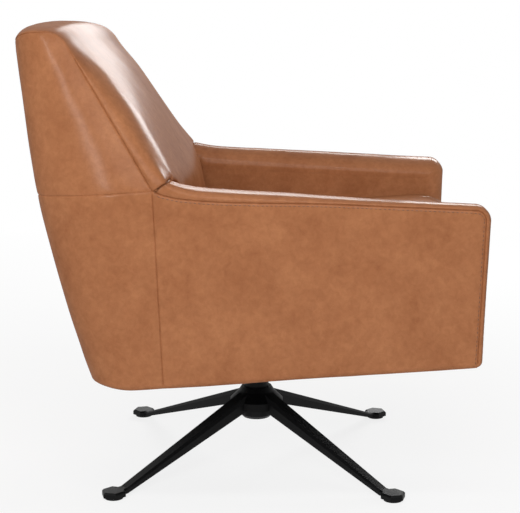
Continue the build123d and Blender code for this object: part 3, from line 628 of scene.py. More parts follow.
def half_at(h):
    """Half-width of the body above the horizontal seam."""
    share = (h - SEAM_HEIGHT) / (WING_TOP - SEAM_HEIGHT)
    return mix(HALF_WIDTH, TOP_HALF_WIDTH, share)


TOP_TILT = np.arctan(ARM_FALL)
FRONT_TILT = np.arctan(FRONT_RUN)
TOP_NORMAL = np.array((sin(TOP_TILT), cos(TOP_TILT)))
FRONT_NORMAL = np.array((cos(FRONT_TILT), -sin(FRONT_TILT)))
CORNER_START = np.arctan2(FRONT_NORMAL[1], FRONT_NORMAL[0])
CORNER_END = np.arctan2(TOP_NORMAL[1], TOP_NORMAL[0])
SEAM_ROUND = ARM_CORNER - SEAM_DROP_FRONT


def corner_centre():
    """Centre of the arm's round corner."""
    top_back = ARM_CORNER / cos(TOP_TILT)
    front_back = ARM_CORNER / cos(FRONT_TILT)
    u = (front_face(arm_top(0) - top_back) - front_back) / (1 + FRONT_RUN * ARM_FALL)
    return np.array((u, arm_top(u) - top_back))


def front_seam(h):
    return front_face(h) - SEAM_DROP_FRONT / cos(CORNER_START)


CORNER = corner_centre()


def arm_seam():
    """Outer seam of the arm, from its foot to the junction."""
    heights = np.linspace(0, CORNER[1], ARM_SEAM_POINTS["front"])
    front = np.stack((front_seam(heights), heights), -1)
    front = front[heights < CORNER[1] + SEAM_ROUND * sin(CORNER_START)]
    turns = np.linspace(CORNER_START, CORNER_END, ARM_SEAM_POINTS["turn"])
    arc = CORNER + SEAM_ROUND * heading(turns)
    places = np.linspace(arc[-1, 0], -REAR_SEAM, ARM_SEAM_POINTS["top"])[1:]
    top = np.stack((places, arm_top(places) - seam_drop(places)), -1)
    return np.concatenate((front, arc, top))


def side_line(points, side):
    """Points of the side view on a face of the chair."""
    return stack(points[:, 0], np.full(len(points), side * HALF_WIDTH), points[:, 1])


ARM_SEAM = arm_seam()
FOOT_TO_JUNCTION = np.linspace((-SIDE_SEAM_FOOT, 0), JUNCTION, UPRIGHT_SEAM_POINTS)


def upright_seam(side):
    line = side_line(FOOT_TO_JUNCTION, side)
    return Seam(line, width=0.0011, puff=0.0009, reach=0.010, pucker=0.00022)


def arm_outer_seam(side):
    line = side_line(ARM_SEAM, side)
    return Seam(line, depth=0.0017, width=0.0013, reach=0.006, pucker=0.0004)


def wall_rows(top):
    """Insets and heights of a wall that rolls under at its foot."""
    run = np.linspace(1, 0, FOOT_ROWS)[:-1, None]
    turns = np.linspace(pi / 2, 0, ROUND_ROWS)[:-1, None]
    shares = graded(SEAM_HEIGHT, first=False)[:, None]
    low = FOOT + BOTTOM_ROUND
    under = BOTTOM_ROUND + UNDERSIDE_RUN * run
    inset = np.concatenate((under, BOTTOM_ROUND * (1 - np.cos(turns)), 0 * shares))
    foot = np.concatenate((FOOT + 0 * run, low - BOTTOM_ROUND * np.sin(turns)))
    rise = mix(low, top, shares)
    return inset, np.concatenate((foot + 0 * rise[:1], rise))


# Outer side panels
def inside_arm(u, h):
    """True within the seams of the arm's outer panel."""
    below = h <= arm_top(u) - seam_drop(u)
    behind = u <= front_seam(h)
    beyond = (u > CORNER[0]) & (h > CORNER[1])
    round_off = np.hypot(u - CORNER[0], h - CORNER[1]) <= SEAM_ROUND
    return below & behind & (round_off | ~beyond)


def outer_side(side):
    share = graded(ARM_FRONT + REAR_SEAM)[None, :]
    rear_lean = (SIDE_SEAM_FOOT - REAR_SEAM) / SEAM_HEIGHT

    def column(h):
        rear = -SIDE_SEAM_FOOT + rear_lean * h
        return mix(rear, front_seam(h), share)

    low = BOTTOM_ROUND + 0 * share
    high = SEAM_HEIGHT + SEARCH_ABOVE + 0 * share
    for _ in range(SEARCH_STEPS):
        middle = (low + high) / 2
        within = inside_arm(column(middle), middle)
        low, high = np.where(within, middle, low), np.where(within, high, middle)
    inset, h = wall_rows(low)
    grid = stack(column(h), side * (HALF_WIDTH - inset), h)
    seams = (upright_seam(side), arm_outer_seam(side))
    outward = (0, side * 2, SEAM_HEIGHT / 2)
    part = f"{SIDE_NAME[side]}_outer_side"
    piece = leather_piece(f"{part}_leather", grid, seams, outward)
    fitted(piece, "seat", "leather", f"{part}_cover")


# Back panels, wrapped from one side seam round the rear to the other
def wrapped(front, half, rear, share, low, high, inset, h):
    """Rows of a wrap-around panel, its corners a share of the way from low to high."""
    corner, turn_length = (mix(a, b, share) + 0 * h for a, b in zip(low, high))
    front, half, rear, inset = (value + 0 * h for value in (front, half, rear, inset))
    start = rear - turn_length
    side = graded(WRAP_SIDE, last=False)[None, :]
    turn = np.linspace(0, pi / 2, WRAP_TURN_COLUMNS)[None, 1:]
    back = np.linspace(1, -1, WRAP_BACK_COLUMNS)[None, 1:-1]
    u_side = mix(front, -start, side)
    v_side = half - inset + 0 * u_side
    u_turn = -start - (turn_length - inset) * np.sin(turn)
    v_turn = half - corner + (corner - inset) * np.cos(turn)
    u_back = inset - rear + 0 * back
    v_back = back * (half - corner)
    u = np.concatenate((u_side, u_turn, u_back, u_turn[:, ::-1], u_side[:, ::-1]), axis=1)
    v = np.concatenate((v_side, v_turn, v_back, -v_turn[:, ::-1], -v_side[:, ::-1]), axis=1)
    return stack(u, v, h + 0 * u)


AT_BOTTOM = (CORNER_AT_BOTTOM, TURN_AT_BOTTOM)
AT_SEAM = (CORNER_AT_SEAM, TURN_AT_SEAM)
AT_TOP = (CORNER_AT_TOP, TURN_AT_TOP)
AT_LEVEL = np.array([[SEAM_HEIGHT]])


def level_seam():
    """Horizontal seam round the rear."""
    line = wrapped(-REAR_SEAM, HALF_WIDTH, REAR_AT_SEAM, 0.0, AT_SEAM, AT_TOP, 0.0, AT_LEVEL)[0]
    return Seam(line, puff=0.0020, reach=0.018, pucker=0.0003)


def lower_back():
    inset, h = wall_rows(SEAM_HEIGHT)
    share = h / SEAM_HEIGHT
    bow = REAR_BOW * 4 * share * (1 - share)
    rear = mix(REAR_AT_BOTTOM, REAR_AT_SEAM, share) + bow
    front = mix(-SIDE_SEAM_FOOT, -REAR_SEAM, share)
    grid = wrapped(front, HALF_WIDTH, rear, share, AT_BOTTOM, AT_SEAM, inset, h)
    behind = smooth((-grid[..., 0] - REAR_AT_BOTTOM + CORNER_AT_BOTTOM) / CORNER_AT_BOTTOM)
    grid[..., 2] += REAR_TUCK * behind * np.clip(1 - grid[..., 2] / REAR_TUCK_REACH, 0, 1) ** 2
    seams = (level_seam(), upright_seam(1), upright_seam(-1))
    outward = (-2, 0, SEAM_HEIGHT / 2)
    piece = leather_piece("lower_back_leather", grid, seams, outward)
    fitted(piece, "seat", "leather", "lower_back_cover")


def drooped(points):
    """Body points with the rear of the top let down in a curve."""
    behind = np.clip((-points[..., 0] - REAR_AT_TOP + REAR_DROP_REACH) / REAR_DROP_REACH, 0, 1)
    raised = smooth((points[..., 2] - SEAM_HEIGHT) / (WING_TOP - SEAM_HEIGHT))
    lowered = points.copy()
    lowered[..., 2] -= REAR_DROP * (1 - np.sqrt(1 - behind**2)) * raised
    return lowered


def slope_front(h):
    """Side view of a wing's front: the slope, then the turn."""
    line = JUNCTION[0] - (h - SEAM_HEIGHT) * LEAN_SIN / LEAN_COS
    lift = np.clip((h - ROLL_CENTRE[1]) / WING_ROUND, 0, 1)
    turn = ROLL_CENTRE[0] + WING_ROUND * np.sqrt(1 - lift**2)
    return np.where(h > SLOPE_END[1], turn, line)


def path_points(p):
    """Points and outward directions of the back cushion's path."""
    slope = JUNCTION + p[:, None] * np.array((-LEAN_SIN, LEAN_COS))
    turn = np.clip(RECLINE + (p - SLOPE_LENGTH) / WING_ROUND, RECLINE, pi / 2)
    direction = heading(turn)
    over = ROLL_CENTRE + WING_ROUND * direction
    over[:, 0] -= np.clip(p - SLOPE_LENGTH - ROLL_ARC, 0, None)
    run = np.linspace(-LUMBAR_DEPTH, 0, LUMBAR_POINTS)
    bend = RECLINE * smooth(run / LUMBAR_BEND + 1)
    ahead = np.cumsum(np.sin(bend)) * LUMBAR_DEPTH / len(run)
    rise = np.cumsum(np.cos(bend)) * LUMBAR_DEPTH / len(run)
    low_u = JUNCTION[0] + np.interp(p, run, ahead[-1] - ahead)
    low_h = JUNCTION[1] - np.interp(p, run, rise[-1] - rise)
    below = np.stack((low_u, low_h), -1)
    lumbar = p[:, None] < 0
    direction = np.where(lumbar, heading(np.interp(p, run, bend)), direction)
    point = np.where(lumbar, below, np.where(p[:, None] > SLOPE_LENGTH, over, slope))
    return point, direction


def path_half(point):
    """Half-width of the back cushion at points of its path."""
    behind = np.clip((REAR_AT_TOP - TURN_AT_TOP + point[:, 0]) / TURN_AT_TOP, -1, 0)
    rounded = TOP_HALF_WIDTH - CORNER_AT_TOP * (1 - np.sqrt(1 - behind**2))
    width = half_at(np.maximum(point[:, 1], SEAM_HEIGHT))
    return np.where(point[:, 1] > WING_TOP - LEVEL_SLACK, rounded, width)


def wing_seam(side):
    """Seam between a wing and the back cushion."""
    places = np.linspace(0, PATH_END, WING_SEAM_POINTS)
    point, _ = path_points(places)
    return Seam(drooped(stack(point[:, 0], side * path_half(point), point[:, 1])))


def top_rear_seam():
    across = np.linspace(-1, 1, SEAM_POINTS) * (TOP_HALF_WIDTH - CORNER_AT_TOP)
    return Seam(drooped(stack(-REAR_AT_TOP, across, WING_TOP)))


def upper_back():
    slope = SLOPE_END[1] - SEAM_HEIGHT
    rising = SEAM_HEIGHT + graded(slope, last=False) * slope
    turning = np.linspace(SLOPE_END[1], WING_TOP, TOP_ROWS)[1:]
    h = np.concatenate((rising, turning))[:, None]
    share = (h - SEAM_HEIGHT) / (WING_TOP - SEAM_HEIGHT)
    rear = mix(REAR_AT_SEAM, REAR_AT_TOP, share)
    grid = drooped(wrapped(slope_front(h), half_at(h), rear, share, AT_SEAM, AT_TOP, 0.0, h))
    form = drooped(wrapped(-REAR_SEAM, half_at(h), rear, share, AT_SEAM, AT_TOP, 0.0, h))
    seams = (level_seam(), wing_seam(1), wing_seam(-1), top_rear_seam())
    outward = (-2, 0, SEAM_HEIGHT)
    piece = leather_piece("upper_back_leather", grid, seams, outward, form=form)
    fitted(piece, "seat", "leather", "upper_back_cover")


# Arm bands
def band_section(drop, inner_round, fall):
    """Section of the arm band: places across, and depths below its top."""
    low = np.linspace(1, 0, FOOT_ROWS)[:-1]
    turns = np.linspace(0, pi / 2, ROUND_ROWS)[:-1]
    flat = np.linspace(0, 1, BAND_FLAT_COLUMNS)[:-1]
    bends = np.linspace(0, pi / 2, BAND_BEND_COLUMNS)[:-1]
    last = np.linspace(0, 1, ROUND_ROWS)
    outer = np.minimum(BAND_OUTER_ROUND, BAND_OUTER_SHARE * (drop - fall))
    flap = BAND_FLAP - BAND_INNER_DEPTH - fall
    across = (
        0 * low * drop,
        BAND_OUTER_WIDE * (1 - np.cos(turns)) + 0 * drop,
        BAND_OUTER_WIDE + flat * (ARM_WIDTH - BAND_OUTER_WIDE - inner_round),
        ARM_WIDTH - inner_round * (1 - np.sin(bends)),
        ARM_WIDTH - 2 * PAD_TUCK * last**2 + 0 * drop,
    )
    depth = (
        outer + low * (drop - fall - outer),
        outer * (1 - np.sin(turns)),
        0 * flat * drop,
        BAND_INNER_DEPTH * (1 - np.cos(bends)) + 0 * drop,
        BAND_INNER_DEPTH + flap * last,
    )
    return np.concatenate(across, axis=1), np.concatenate(depth, axis=1) + fall


def band_rear(side):
    """Rear end of the arm band, on the slope of the back."""
    crest = np.full((1, 1), CREST[side])
    across, depth = band_section(crest, 0 * crest + BAND_INNER_ROUND_REAR, 0 * crest)
    inner = across > ARM_WIDTH / 2
    stand = np.where(inner, crest, crest - depth)
    bury = BAND_BURY * smooth((across - ARM_WIDTH / 2) / (ARM_WIDTH / 4))
    u = -REAR_SEAM + stand * LEAN_COS - bury
    h = SEAM_HEIGHT + stand * LEAN_SIN - np.where(inner, depth, 0)
    return u, h, across


def arm_band(side):
    """Band up the front of an arm, round its corner and back along its top."""
    front_top = CORNER + ARM_CORNER * FRONT_NORMAL
    top_start = CORNER + ARM_CORNER * TOP_NORMAL
    inset, heights = (rows[:-1] for rows in wall_rows(front_top[1]))
    front = np.concatenate((front_face(heights) - inset, heights), axis=1)
    turns = np.linspace(CORNER_START, CORNER_END, ARM_TURN_ROWS)[:-1]
    arc = CORNER + ARM_CORNER * heading(turns)
    share = graded(ARM_FRONT + REAR_SEAM, first=False)
    top_run = share * (top_start[0] + REAR_SEAM)

    def rows(on_front, on_arc, on_top):
        return np.concatenate((on_front, on_arc, on_top))[:, None]

    fronts, arcs, tops = np.zeros(len(front)), np.zeros(len(arc)), np.zeros(len(share))
    normals = (fronts[:, None] + FRONT_NORMAL, heading(turns), tops[:, None] + TOP_NORMAL)
    normals = np.concatenate(normals)
    to_rear = rows(fronts, arcs, share)
    on_top = rows(fronts, arcs, tops + 1) > 0
    on_arc = rows(fronts, arcs + 1, tops) > 0
    rolled = rows(inset[:, 0], arcs, tops)
    base_u = rows(front[:, 0], arc[:, 0], tops)
    base_h = rows(front[:, 1], arc[:, 1], tops)
    along_u = rows(front[:, 0], arc[:, 0], top_start[0] - top_run)
    from_corner = rows(front_top[1] - front[:, 1], arcs, top_run)

    # Section at each row
    easing = smooth(to_rear)
    upward = np.clip(normals[:, 1:], 0, 1)
    inner_round = mix(BAND_INNER_ROUND_FRONT, BAND_INNER_ROUND_TOP, upward)
    inner_round = mix(inner_round, BAND_INNER_ROUND_REAR, easing)
    fall = BAND_FRONT_FALL * upward * (1 - easing)
    across, depth = band_section(band_drop(along_u), inner_round, fall)
    depth = depth - BAND_CROWN * easing * np.sin(pi * np.clip(across / ARM_WIDTH, 0, 1))

    # Inside the corner, deeper than its radius, the rows meet on a mitre
    past_corner = np.maximum(depth - ARM_CORNER, 0)
    to_mitre = past_corner * tan((CORNER_END - CORNER_START) / 2)
    slide = to_mitre * np.exp(-from_corner / np.maximum(to_mitre, EDGE_STEP))
    mitre = (TOP_NORMAL + FRONT_NORMAL) / (1 + TOP_NORMAL @ FRONT_NORMAL)
    shallow = np.where(on_arc, np.minimum(depth, ARM_CORNER), depth)
    round_u = base_u - normals[:, :1] * shallow
    round_h = base_h - normals[:, 1:] * shallow
    round_u = round_u - np.where(on_arc, mitre[0] * past_corner, -FRONT_NORMAL[1] * slide)
    round_h = round_h - np.where(on_arc, mitre[1] * past_corner, FRONT_NORMAL[0] * slide)

    # Along the top, flaring up to the slope
    rear_u, rear_h, rear_across = band_rear(side)
    plain_u = mix(top_start[0], rear_u, to_rear)
    straight_u = plain_u - slide
    upright = mix(TOP_NORMAL, np.array((0, 1)), easing)
    u = np.where(on_top, straight_u - upright[:, :1] * depth, round_u)
    level = np.where(on_top, arm_top(straight_u) - upright[:, 1:] * depth, round_h)
    inner_side = smooth((across - ARM_WIDTH / 2) / (ARM_WIDTH / 2))
    inner_side = inner_side * smooth((depth - BAND_LIFTED) / (BAND_FLAP - BAND_LIFTED))
    lift = (rear_h - arm_top(rear_u) + depth) * (1 - inner_side)
    flare = lift * np.exp(-(straight_u - rear_u) / FLARE_REACH)
    h = np.where(on_top, level + flare, level)
    v = side * (HALF_WIDTH - across - rolled * (1 - across / ARM_WIDTH))
    grid = stack(u, v, h)
    form_u = np.where(on_top, plain_u - upright[:, :1] * depth, base_u - normals[:, :1] * depth)
    form_h = np.where(on_top, h, base_h - normals[:, 1:] * depth)
    form = stack(form_u + normals[:, :1] * BAND_FLAP, v, form_h + normals[:, 1:] * BAND_FLAP)

    # A last row tucks the rear end into the back
    tail = grid[-1:] + np.array((-LEAN_SIN, 0, LEAN_COS)) * BAND_TAIL_RISE
    tail = tail - np.array((LEAN_COS, 0, LEAN_SIN)) * BAND_TAIL_SINK
    tail[0, :, 1] -= side * BAND_TAIL_SINK * (1 - 2 * rear_across[0] / ARM_WIDTH)
    form = np.concatenate((form, tail + form[-1:] - grid[-1:]))
    grid = np.concatenate((grid, tail))
    seams = (arm_outer_seam(side), arm_back_seam(side))
    outward = (0.1, side * (HALF_WIDTH - ARM_WIDTH / 2), 1.0)
    node = f"{SIDE_NAME[side]}_arm_band"
    piece = leather_piece(f"{node}_leather", grid, seams, outward, form=form)
    fitted(piece, "seat", "leather", node)


# Inner arm pads
def inner_arm(side):
    rows = graded(arm_top(0) - DECK)[:, None]
    share = graded(ARM_FRONT + REAR_SEAM)[None, :]
    reach = BAND_FLAP - PAD_OVERLAP

    def column(h):
        front = front_face(h) - reach / cos(CORNER_START)
        return -REAR_SEAM + share * (front + REAR_SEAM)

    low = DECK + PAD_LIFT
    top = arm_top(column(SEAM_HEIGHT)) - reach
    for _ in range(PAD_STEPS):
        top = arm_top(column(top)) - reach
    h = mix(low, top, rows)
    u = column(h)
    grid = stack(u, side * (HALF_WIDTH - ARM_WIDTH + PAD_TUCK) + 0 * u, h)
    outward = (0.1, 0, 0.2)
    part = f"{SIDE_NAME[side]}_inner_arm"
    seams = (arm_back_seam(side),)
    piece = leather_piece(f"{part}_leather", grid, seams, outward, thickness=PAD_THICK)
    fitted(piece, "seat", "leather", f"{part}_pad")


# Back cushion
def rim(share):
    """Round edge of a stuffed form: 0 at its seam, 1 from its rim inwards."""
    share = np.clip(share, 0, 1)
    return (1 - (1 - share) ** RIM_POWER) ** (1 / RIM_POWER)


def cushion_stand(place, v, half):
    """How far the back cushion stands out from its path."""
    inward = np.clip(half - np.abs(v), 0, None)
    roll_start = BACK_SHOULDER * SLOPE_LENGTH
    roll = (place - roll_start) / ((1 - BACK_SHOULDER) * SLOPE_LENGTH + ROLL_ARC)
    across = (1 + v / half) / 2
    edge = mix(RIM_HEIGHT[-1], RIM_HEIGHT[1], across)
    reach = mix(RIM_REACH[-1], RIM_REACH[1], across)
    edge = mix(edge, ROLL_RIM_HEIGHT, smooth(roll))
    crown = mix(BACK_CROWN, ROLL_CROWN, smooth(roll))
    stand = edge * rim(inward / reach) + crown * (1 - (1 - inward / half) ** 2)
    turn = (place - SLOPE_LENGTH) / TURN_EASE_REACH
    stand = stand - TURN_EASE * np.exp(-(turn**2)) * rim(inward / reach)
    over = np.where(v > 0, CREST[1], CREST[-1]) * rim(inward / CREST_RIM) - stand
    over = (over + np.sqrt(over**2 + (CREST_BLEND * rim(inward / CREST_RIM)) ** 2)) / 2
    stand = stand + over * np.exp(-np.clip(place, 0, None) / CREST_FADE)
    lumbar = LUMBAR_EDGE + LUMBAR_CROWN * np.clip(1 - (v / LUMBAR_HALF) ** 2, 0, 1)
    lumbar = lumbar * rim((place + LUMBAR_DEPTH) / LUMBAR_TAIL)
    return mix(stand, lumbar, smooth(-place / LUMBAR_EASE))


def lumbar_half(place):
    """Half-width of the cushion between the arms' round edges."""
    turn = np.arccos(1 - np.clip(-(place + LUMBAR_LAP) / BAND_INNER_DEPTH, 0, 1))
    return LUMBAR_HALF + BAND_INNER_ROUND_REAR * (1 - np.sin(turn))


def cushion_points(p, v, half):
    """Body points of the back cushion's face."""
    point, direction = path_points(p)
    stand = cushion_stand(p[:, None], v, half) * rim((PATH_END - p[:, None]) / ROLL_END_REACH)
    u = point[:, :1] + direction[:, :1] * stand
    return drooped(stack(u, v, point[:, 1:] + direction[:, 1:] * stand))


def arm_back_seam(side):
    """Seam between the back cushion and an arm."""
    across = np.linspace(HALF_WIDTH, lumbar_half(0.0), ARM_BACK_POINTS["over"])[None, :]
    over = cushion_points(np.zeros(1), side * across, HALF_WIDTH)[0]
    shares = np.linspace(0, 1, ARM_BACK_POINTS["down"])[1:]
    places = -LUMBAR_DEPTH * shares**ARM_BACK_CROWDING
    down = cushion_points(places, side * lumbar_half(places)[:, None], HALF_WIDTH)[:, 0]
    line = np.concatenate((over, down))
    return Seam(line, depth=0.0020, width=0.0016, puff=0.0018, reach=0.008, pucker=0.0004)


def back_cushion():
    """One leather form over the top, down the slope and between the arms."""
    lumbar_rows = -LUMBAR_DEPTH * graded(LUMBAR_DEPTH)[:0:-1]
    p = np.concatenate((lumbar_rows, PATH_END * graded(PATH_END)))
    narrow = lumbar_half(0.0) / HALF_WIDTH
    wing = (1 - narrow) * graded((1 - narrow) * HALF_WIDTH)
    middle = 2 * narrow * graded(2 * LUMBAR_HALF)[1:-1]
    q = np.concatenate((wing - 1, middle - narrow, narrow + wing))
    point, _ = path_points(p)
    half = path_half(point)[:, None]
    plain = half_at(np.maximum(point[:, 1:], SEAM_HEIGHT))
    low = p[:, None] < 0
    low_half = lumbar_half(p)[:, None] / narrow
    grid = cushion_points(p, np.where(low, low_half, half) * q, half)
    form = cushion_points(p, np.where(low, low_half, plain) * q, plain)
    between = np.abs(q[:-1] + q[1:]) / 2 < narrow
    cells = (p[:-1, None] >= 0) | between[None, :]
    seams = [seam(side) for seam in (wing_seam, arm_back_seam) for side in (1, -1)]
    seams.insert(2, top_rear_seam())
    outward = (1.0, 0, 0.6)
    piece = leather_piece("back_cushion_leather", grid, seams, outward, cells, BACK_SKIN, form)
    fitted(piece, "seat", "leather", "back_cushion")


# Seat cushion
def seat_cushion():
    """Box cushion that starts a little small and is blown up as cloth."""
    low = np.array((SEAT_REAR + SEAT_INSET, -SEAT_HALF + SEAT_INSET, DECK + SEAT_LIFT))
    high = np.array((SEAT_FRONT, SEAT_HALF, SEAT_TOP)) - SEAT_INSET
    bpy.ops.mesh.primitive_cube_add(size=1)
    piece = bpy.context.object
    piece.name = "seat_cushion_leather"
    for vertex in piece.data.vertices:
        corner = np.array(vertex.co) + 0.5
        vertex.co = Vector(to_frame(mix(low, high, corner)))
    edge = piece.modifiers.new("Edge", "BEVEL")
    edge.width = SEAT_ROUND
    edge.segments = 4
    weld = piece.modifiers.new("Skin", "REMESH")
    weld.mode = "VOXEL"
    weld.voxel_size = SEAT_VOXEL
    weld.use_smooth_shade = True
    for step in (edge.name, weld.name):
        bpy.ops.object.modifier_apply(modifier=step)
    inflate(piece)
    settle(piece)
    piece.data.materials.clear()
    piece.data.materials.append(leather)
    fine = piece.modifiers.new("Fine", "SUBSURF")
    fine.levels = fine.render_levels = 1
    piece.data.shade_smooth()
    fitted(piece, "seat", "leather", "seat_cushion")


def coordinates(mesh):
    points = np.empty(len(mesh.vertices) * 3)
    mesh.vertices.foreach_get("co", points)
    return points.reshape(-1, 3)


def move_to(mesh, points):
    mesh.vertices.foreach_set("co", points.ravel())
    mesh.update()


def inflate(piece):
    """Cloth under pressure, with each point kept near where it began."""
    start = coordinates(piece.data)
    cloth = piece.modifiers.new("Cloth", "CLOTH")
    cloth.settings.use_pressure = True
    cloth.settings.uniform_pressure_force = SEAT_PRESSURE
    cloth.settings.effector_weights.gravity = 0
    cloth.settings.quality = 5
    cloth.collision_settings.use_collision = False
    cloth.collision_settings.use_self_collision = False
    scene = bpy.context.scene
    for step in range(1, SEAT_FRAMES + 1):
        scene.frame_set(step)
    shaped = piece.evaluated_get(bpy.context.evaluated_depsgraph_get()).data
    move = coordinates(shaped) - start
    far = np.maximum(np.linalg.norm(move, axis=1, keepdims=True), TINY)
    piece.modifiers.remove(cloth)
    scene.frame_set(1)
    move_to(piece.data, start + move * np.minimum(1, SEAT_SWELL / far))


def settle(piece):
    """Let the cushion out to its place, and crown its top and front."""
    u, v, h = np.moveaxis(from_frame(coordinates(piece.data)), -1, 0)
    widest = SEAT_HALF - SEAT_CLEAR
    u = np.interp(u, (u.min(), u.max()), (SEAT_REAR, SEAT_FRONT))
    v = v * (widest / np.abs(v).max())
    middle = 1 - (v / SEAT_HALF) ** 2
    rise = np.clip((h - DECK) / (h.max() - DECK), 0, 1)
    ahead = smooth((u - SEAT_FRONT + SEAT_BULGE_REACH) / SEAT_BULGE_REACH)
    u = u + SEAT_BULGE * ahead * middle * np.sqrt(np.sin(pi * rise))
    astern = smooth((SEAT_REAR + SEAT_BULGE_REACH - u) / SEAT_BULGE_REACH)
    u = u - SEAT_WRAP * astern * (1 - middle)
    length = (u - SEAT_REAR) / (SEAT_FRONT - SEAT_REAR)
    raised = smooth((h - DECK) / (SEAT_TOP - DECK))
    h = h + SEAT_CROWN * raised * middle * (1 - (2 * length - 1) ** 4)
    v = np.clip(v, -widest, widest)
    move_to(piece.data, to_frame(stack(u, v, np.maximum(h, DECK))))


def front_apron():
    inset, h = wall_rows(APRON_TOP)
    width = HALF_WIDTH - ARM_WIDTH - APRON_CLEAR
    v = (2 * graded(2 * width) - 1)[None, :] * width
    grid = stack(front_face(h) - APRON_SET_BACK - inset + 0 * v, v, h)
    edge = np.linspace(-width, width, SEAM_POINTS)
    line = stack(front_face(APRON_TOP), edge, APRON_TOP)
    top = Seam(line, depth=0.002, width=0.002, puff=0.0015, reach=0.008, pucker=0.0003)
    outward = (2.0, 0, 0.03)
    piece = leather_piece("front_apron_leather", grid, (top,), outward)
    fitted(piece, "seat", "leather", "front_apron")


# Stitches along the outer arm seams
STITCH_PITCH = 0.0070
STITCH_LENGTH = 0.0048
STITCH_RADIUS = 0.0006
STITCH_SET_BACK = 0.0036
STITCH_SIDES = 7
STITCH_RINGS = 7
STITCH_TAPER = 0.8
STITCH_PROUD = 0.35
STITCH_DIP = 1.3


def along_line(line, pitch):
    """Points, directions and normals at even steps along a line."""
    begun = np.concatenate(((0,), np.cumsum(np.linalg.norm(np.diff(line, axis=0), axis=1))))
    steps = np.arange(pitch, begun[-1] - pitch, pitch)

    def places(at):
        return np.stack([np.interp(at, begun, line[:, k]) for k in (0, 1)], -1)

    points = places(steps)
    ahead = places(steps + pitch / 2) - points
    ahead = ahead / np.linalg.norm(ahead, axis=1, keepdims=True)
    return points, ahead, np.stack((-ahead[:, 1], ahead[:, 0]), -1)


def stitches(side):
    """Stitches beside the arm's outer seam."""
    points, ahead, inward = along_line(ARM_SEAM, STITCH_PITCH)
    points = points + inward * STITCH_SET_BACK
    lift = relief(side_line(points, side), (upright_seam(side), arm_outer_seam(side)))
    turns = np.linspace(0, 2 * pi, STITCH_SIDES, endpoint=False)
    vertices, faces = [], []
    for middle, direction, across, rise in zip(points, ahead, inward, lift):
        begin = len(vertices)
        for place in np.linspace(-1, 1, STITCH_RINGS):
            radius = STITCH_RADIUS * (1 - STITCH_TAPER * place**4)
            stand = HALF_WIDTH + rise + STITCH_RADIUS * (STITCH_PROUD - STITCH_DIP * place**2)
            centre = middle + direction * place * STITCH_LENGTH / 2
            for turn in turns:
                u, h = centre + across * radius * cos(turn)
                vertices.append((u, side * (stand + radius * sin(turn)), h))
        faces += ring_faces(STITCH_RINGS, STITCH_SIDES, begin)
        faces.append(tuple(range(begin, begin + STITCH_SIDES))[::-1])
        faces.append(tuple(range(len(vertices) - STITCH_SIDES, len(vertices))))
    name = f"{SIDE_NAME[side]}_arm_stitching"
    piece = mesh_object(name, to_frame(np.array(vertices)), faces, thread)
    fitted(piece, "seat", "leather")


# Dust cover: black cloth tacked under the frame
DUST_HEIGHT = 0.0030
DUST_INSET = 0.015
DUST_FRONT = 0.348
DUST_HOLE = 0.039
DUST_SAG = 0.0028
DUST_RINGS = 46
DUST_SPOKES = 240
DUST_CLOTH = 0.0006
TACKS = 22
TACK_PULL = 0.25


def dust_cover():
    """Cloth from the frame's edge to the hole, slack between its tacks."""
    half = HALF_WIDTH - DUST_INSET
    rear = REAR_AT_BOTTOM - DUST_INSET
    radius = CORNER_AT_BOTTOM - DUST_INSET
    turns = np.linspace(0, 2 * pi, DUST_SPOKES, endpoint=False)
    ray = heading(turns)
    slope = np.maximum(np.abs(ray), TINY)
    far_u = np.where(ray[:, 0] > 0, DUST_FRONT, rear) / slope[:, 0]
    reach = np.minimum(far_u, half / slope[:, 1])
    edge = ray * reach[:, None]
    in_corner = (edge[:, 0] < radius - rear) & (np.abs(edge[:, 1]) > half - radius)
    centre_v = np.sign(ray[:, 1]) * (half - radius)
    centre = np.stack((np.full(DUST_SPOKES, radius - rear), centre_v), -1)
    toward = (ray * centre).sum(1)
    chord = toward + np.sqrt(np.maximum(toward**2 - (centre**2).sum(1) + radius**2, 0))
    reach = np.where(in_corner, chord, reach)
    share = np.linspace(0, 1, DUST_RINGS)[:, None]
    length = mix(DUST_HOLE, reach, share)
    slack = np.sin(pi * share) * (1 - TACK_PULL + TACK_PULL * np.sin(TACKS * turns) * share)
    h = DUST_HEIGHT - DUST_SAG * slack
    points = to_frame(stack(length * ray[:, 0], length * ray[:, 1], h).reshape(-1, 3))
    faces = ring_faces(DUST_RINGS, DUST_SPOKES)
    piece = mesh_object("dust_cloth", points, faces, FINISHES["dust_cloth"])
    wall = piece.modifiers.new("Wall", "SOLIDIFY")
    wall.thickness = DUST_CLOTH
    wall.offset = 1
    fitted(piece, "seat", "dust_cloth", "dust_cover")


# Camera, floor and light
CAMERA_LENS = 92.67
CAMERA_SENSOR = 36.0
CAMERA_PLACE = (0.05975, -2.42035, 0.8206)
CAMERA_YAW = radians(1.26)
CAMERA_PITCH = radians(10.35)
FLOOR_HALF = 14.0
FLOOR_CORNERS = ((-1, -1), (1, -1), (1, 1), (-1, 1))
FLOOR_NEAR = 0.9
FLOOR_FAR = 2.8
FLOOR_GLOW = 0.82
FLOOR_COLOUR = (0.9, 0.9, 0.9, 1.0)
WORLD_LIGHT = 0.16


def camera():
    view = bpy.data.cameras.new("photo_view")
    view.lens = CAMERA_LENS
    view.sensor_width = CAMERA_SENSOR
    view.sensor_fit = "HORIZONTAL"
    holder = linked("photo_view", view)
    holder.location = CAMERA_PLACE
    holder.rotation_euler = (pi / 2 - CAMERA_PITCH, 0, CAMERA_YAW)
    bpy.context.scene.camera = holder


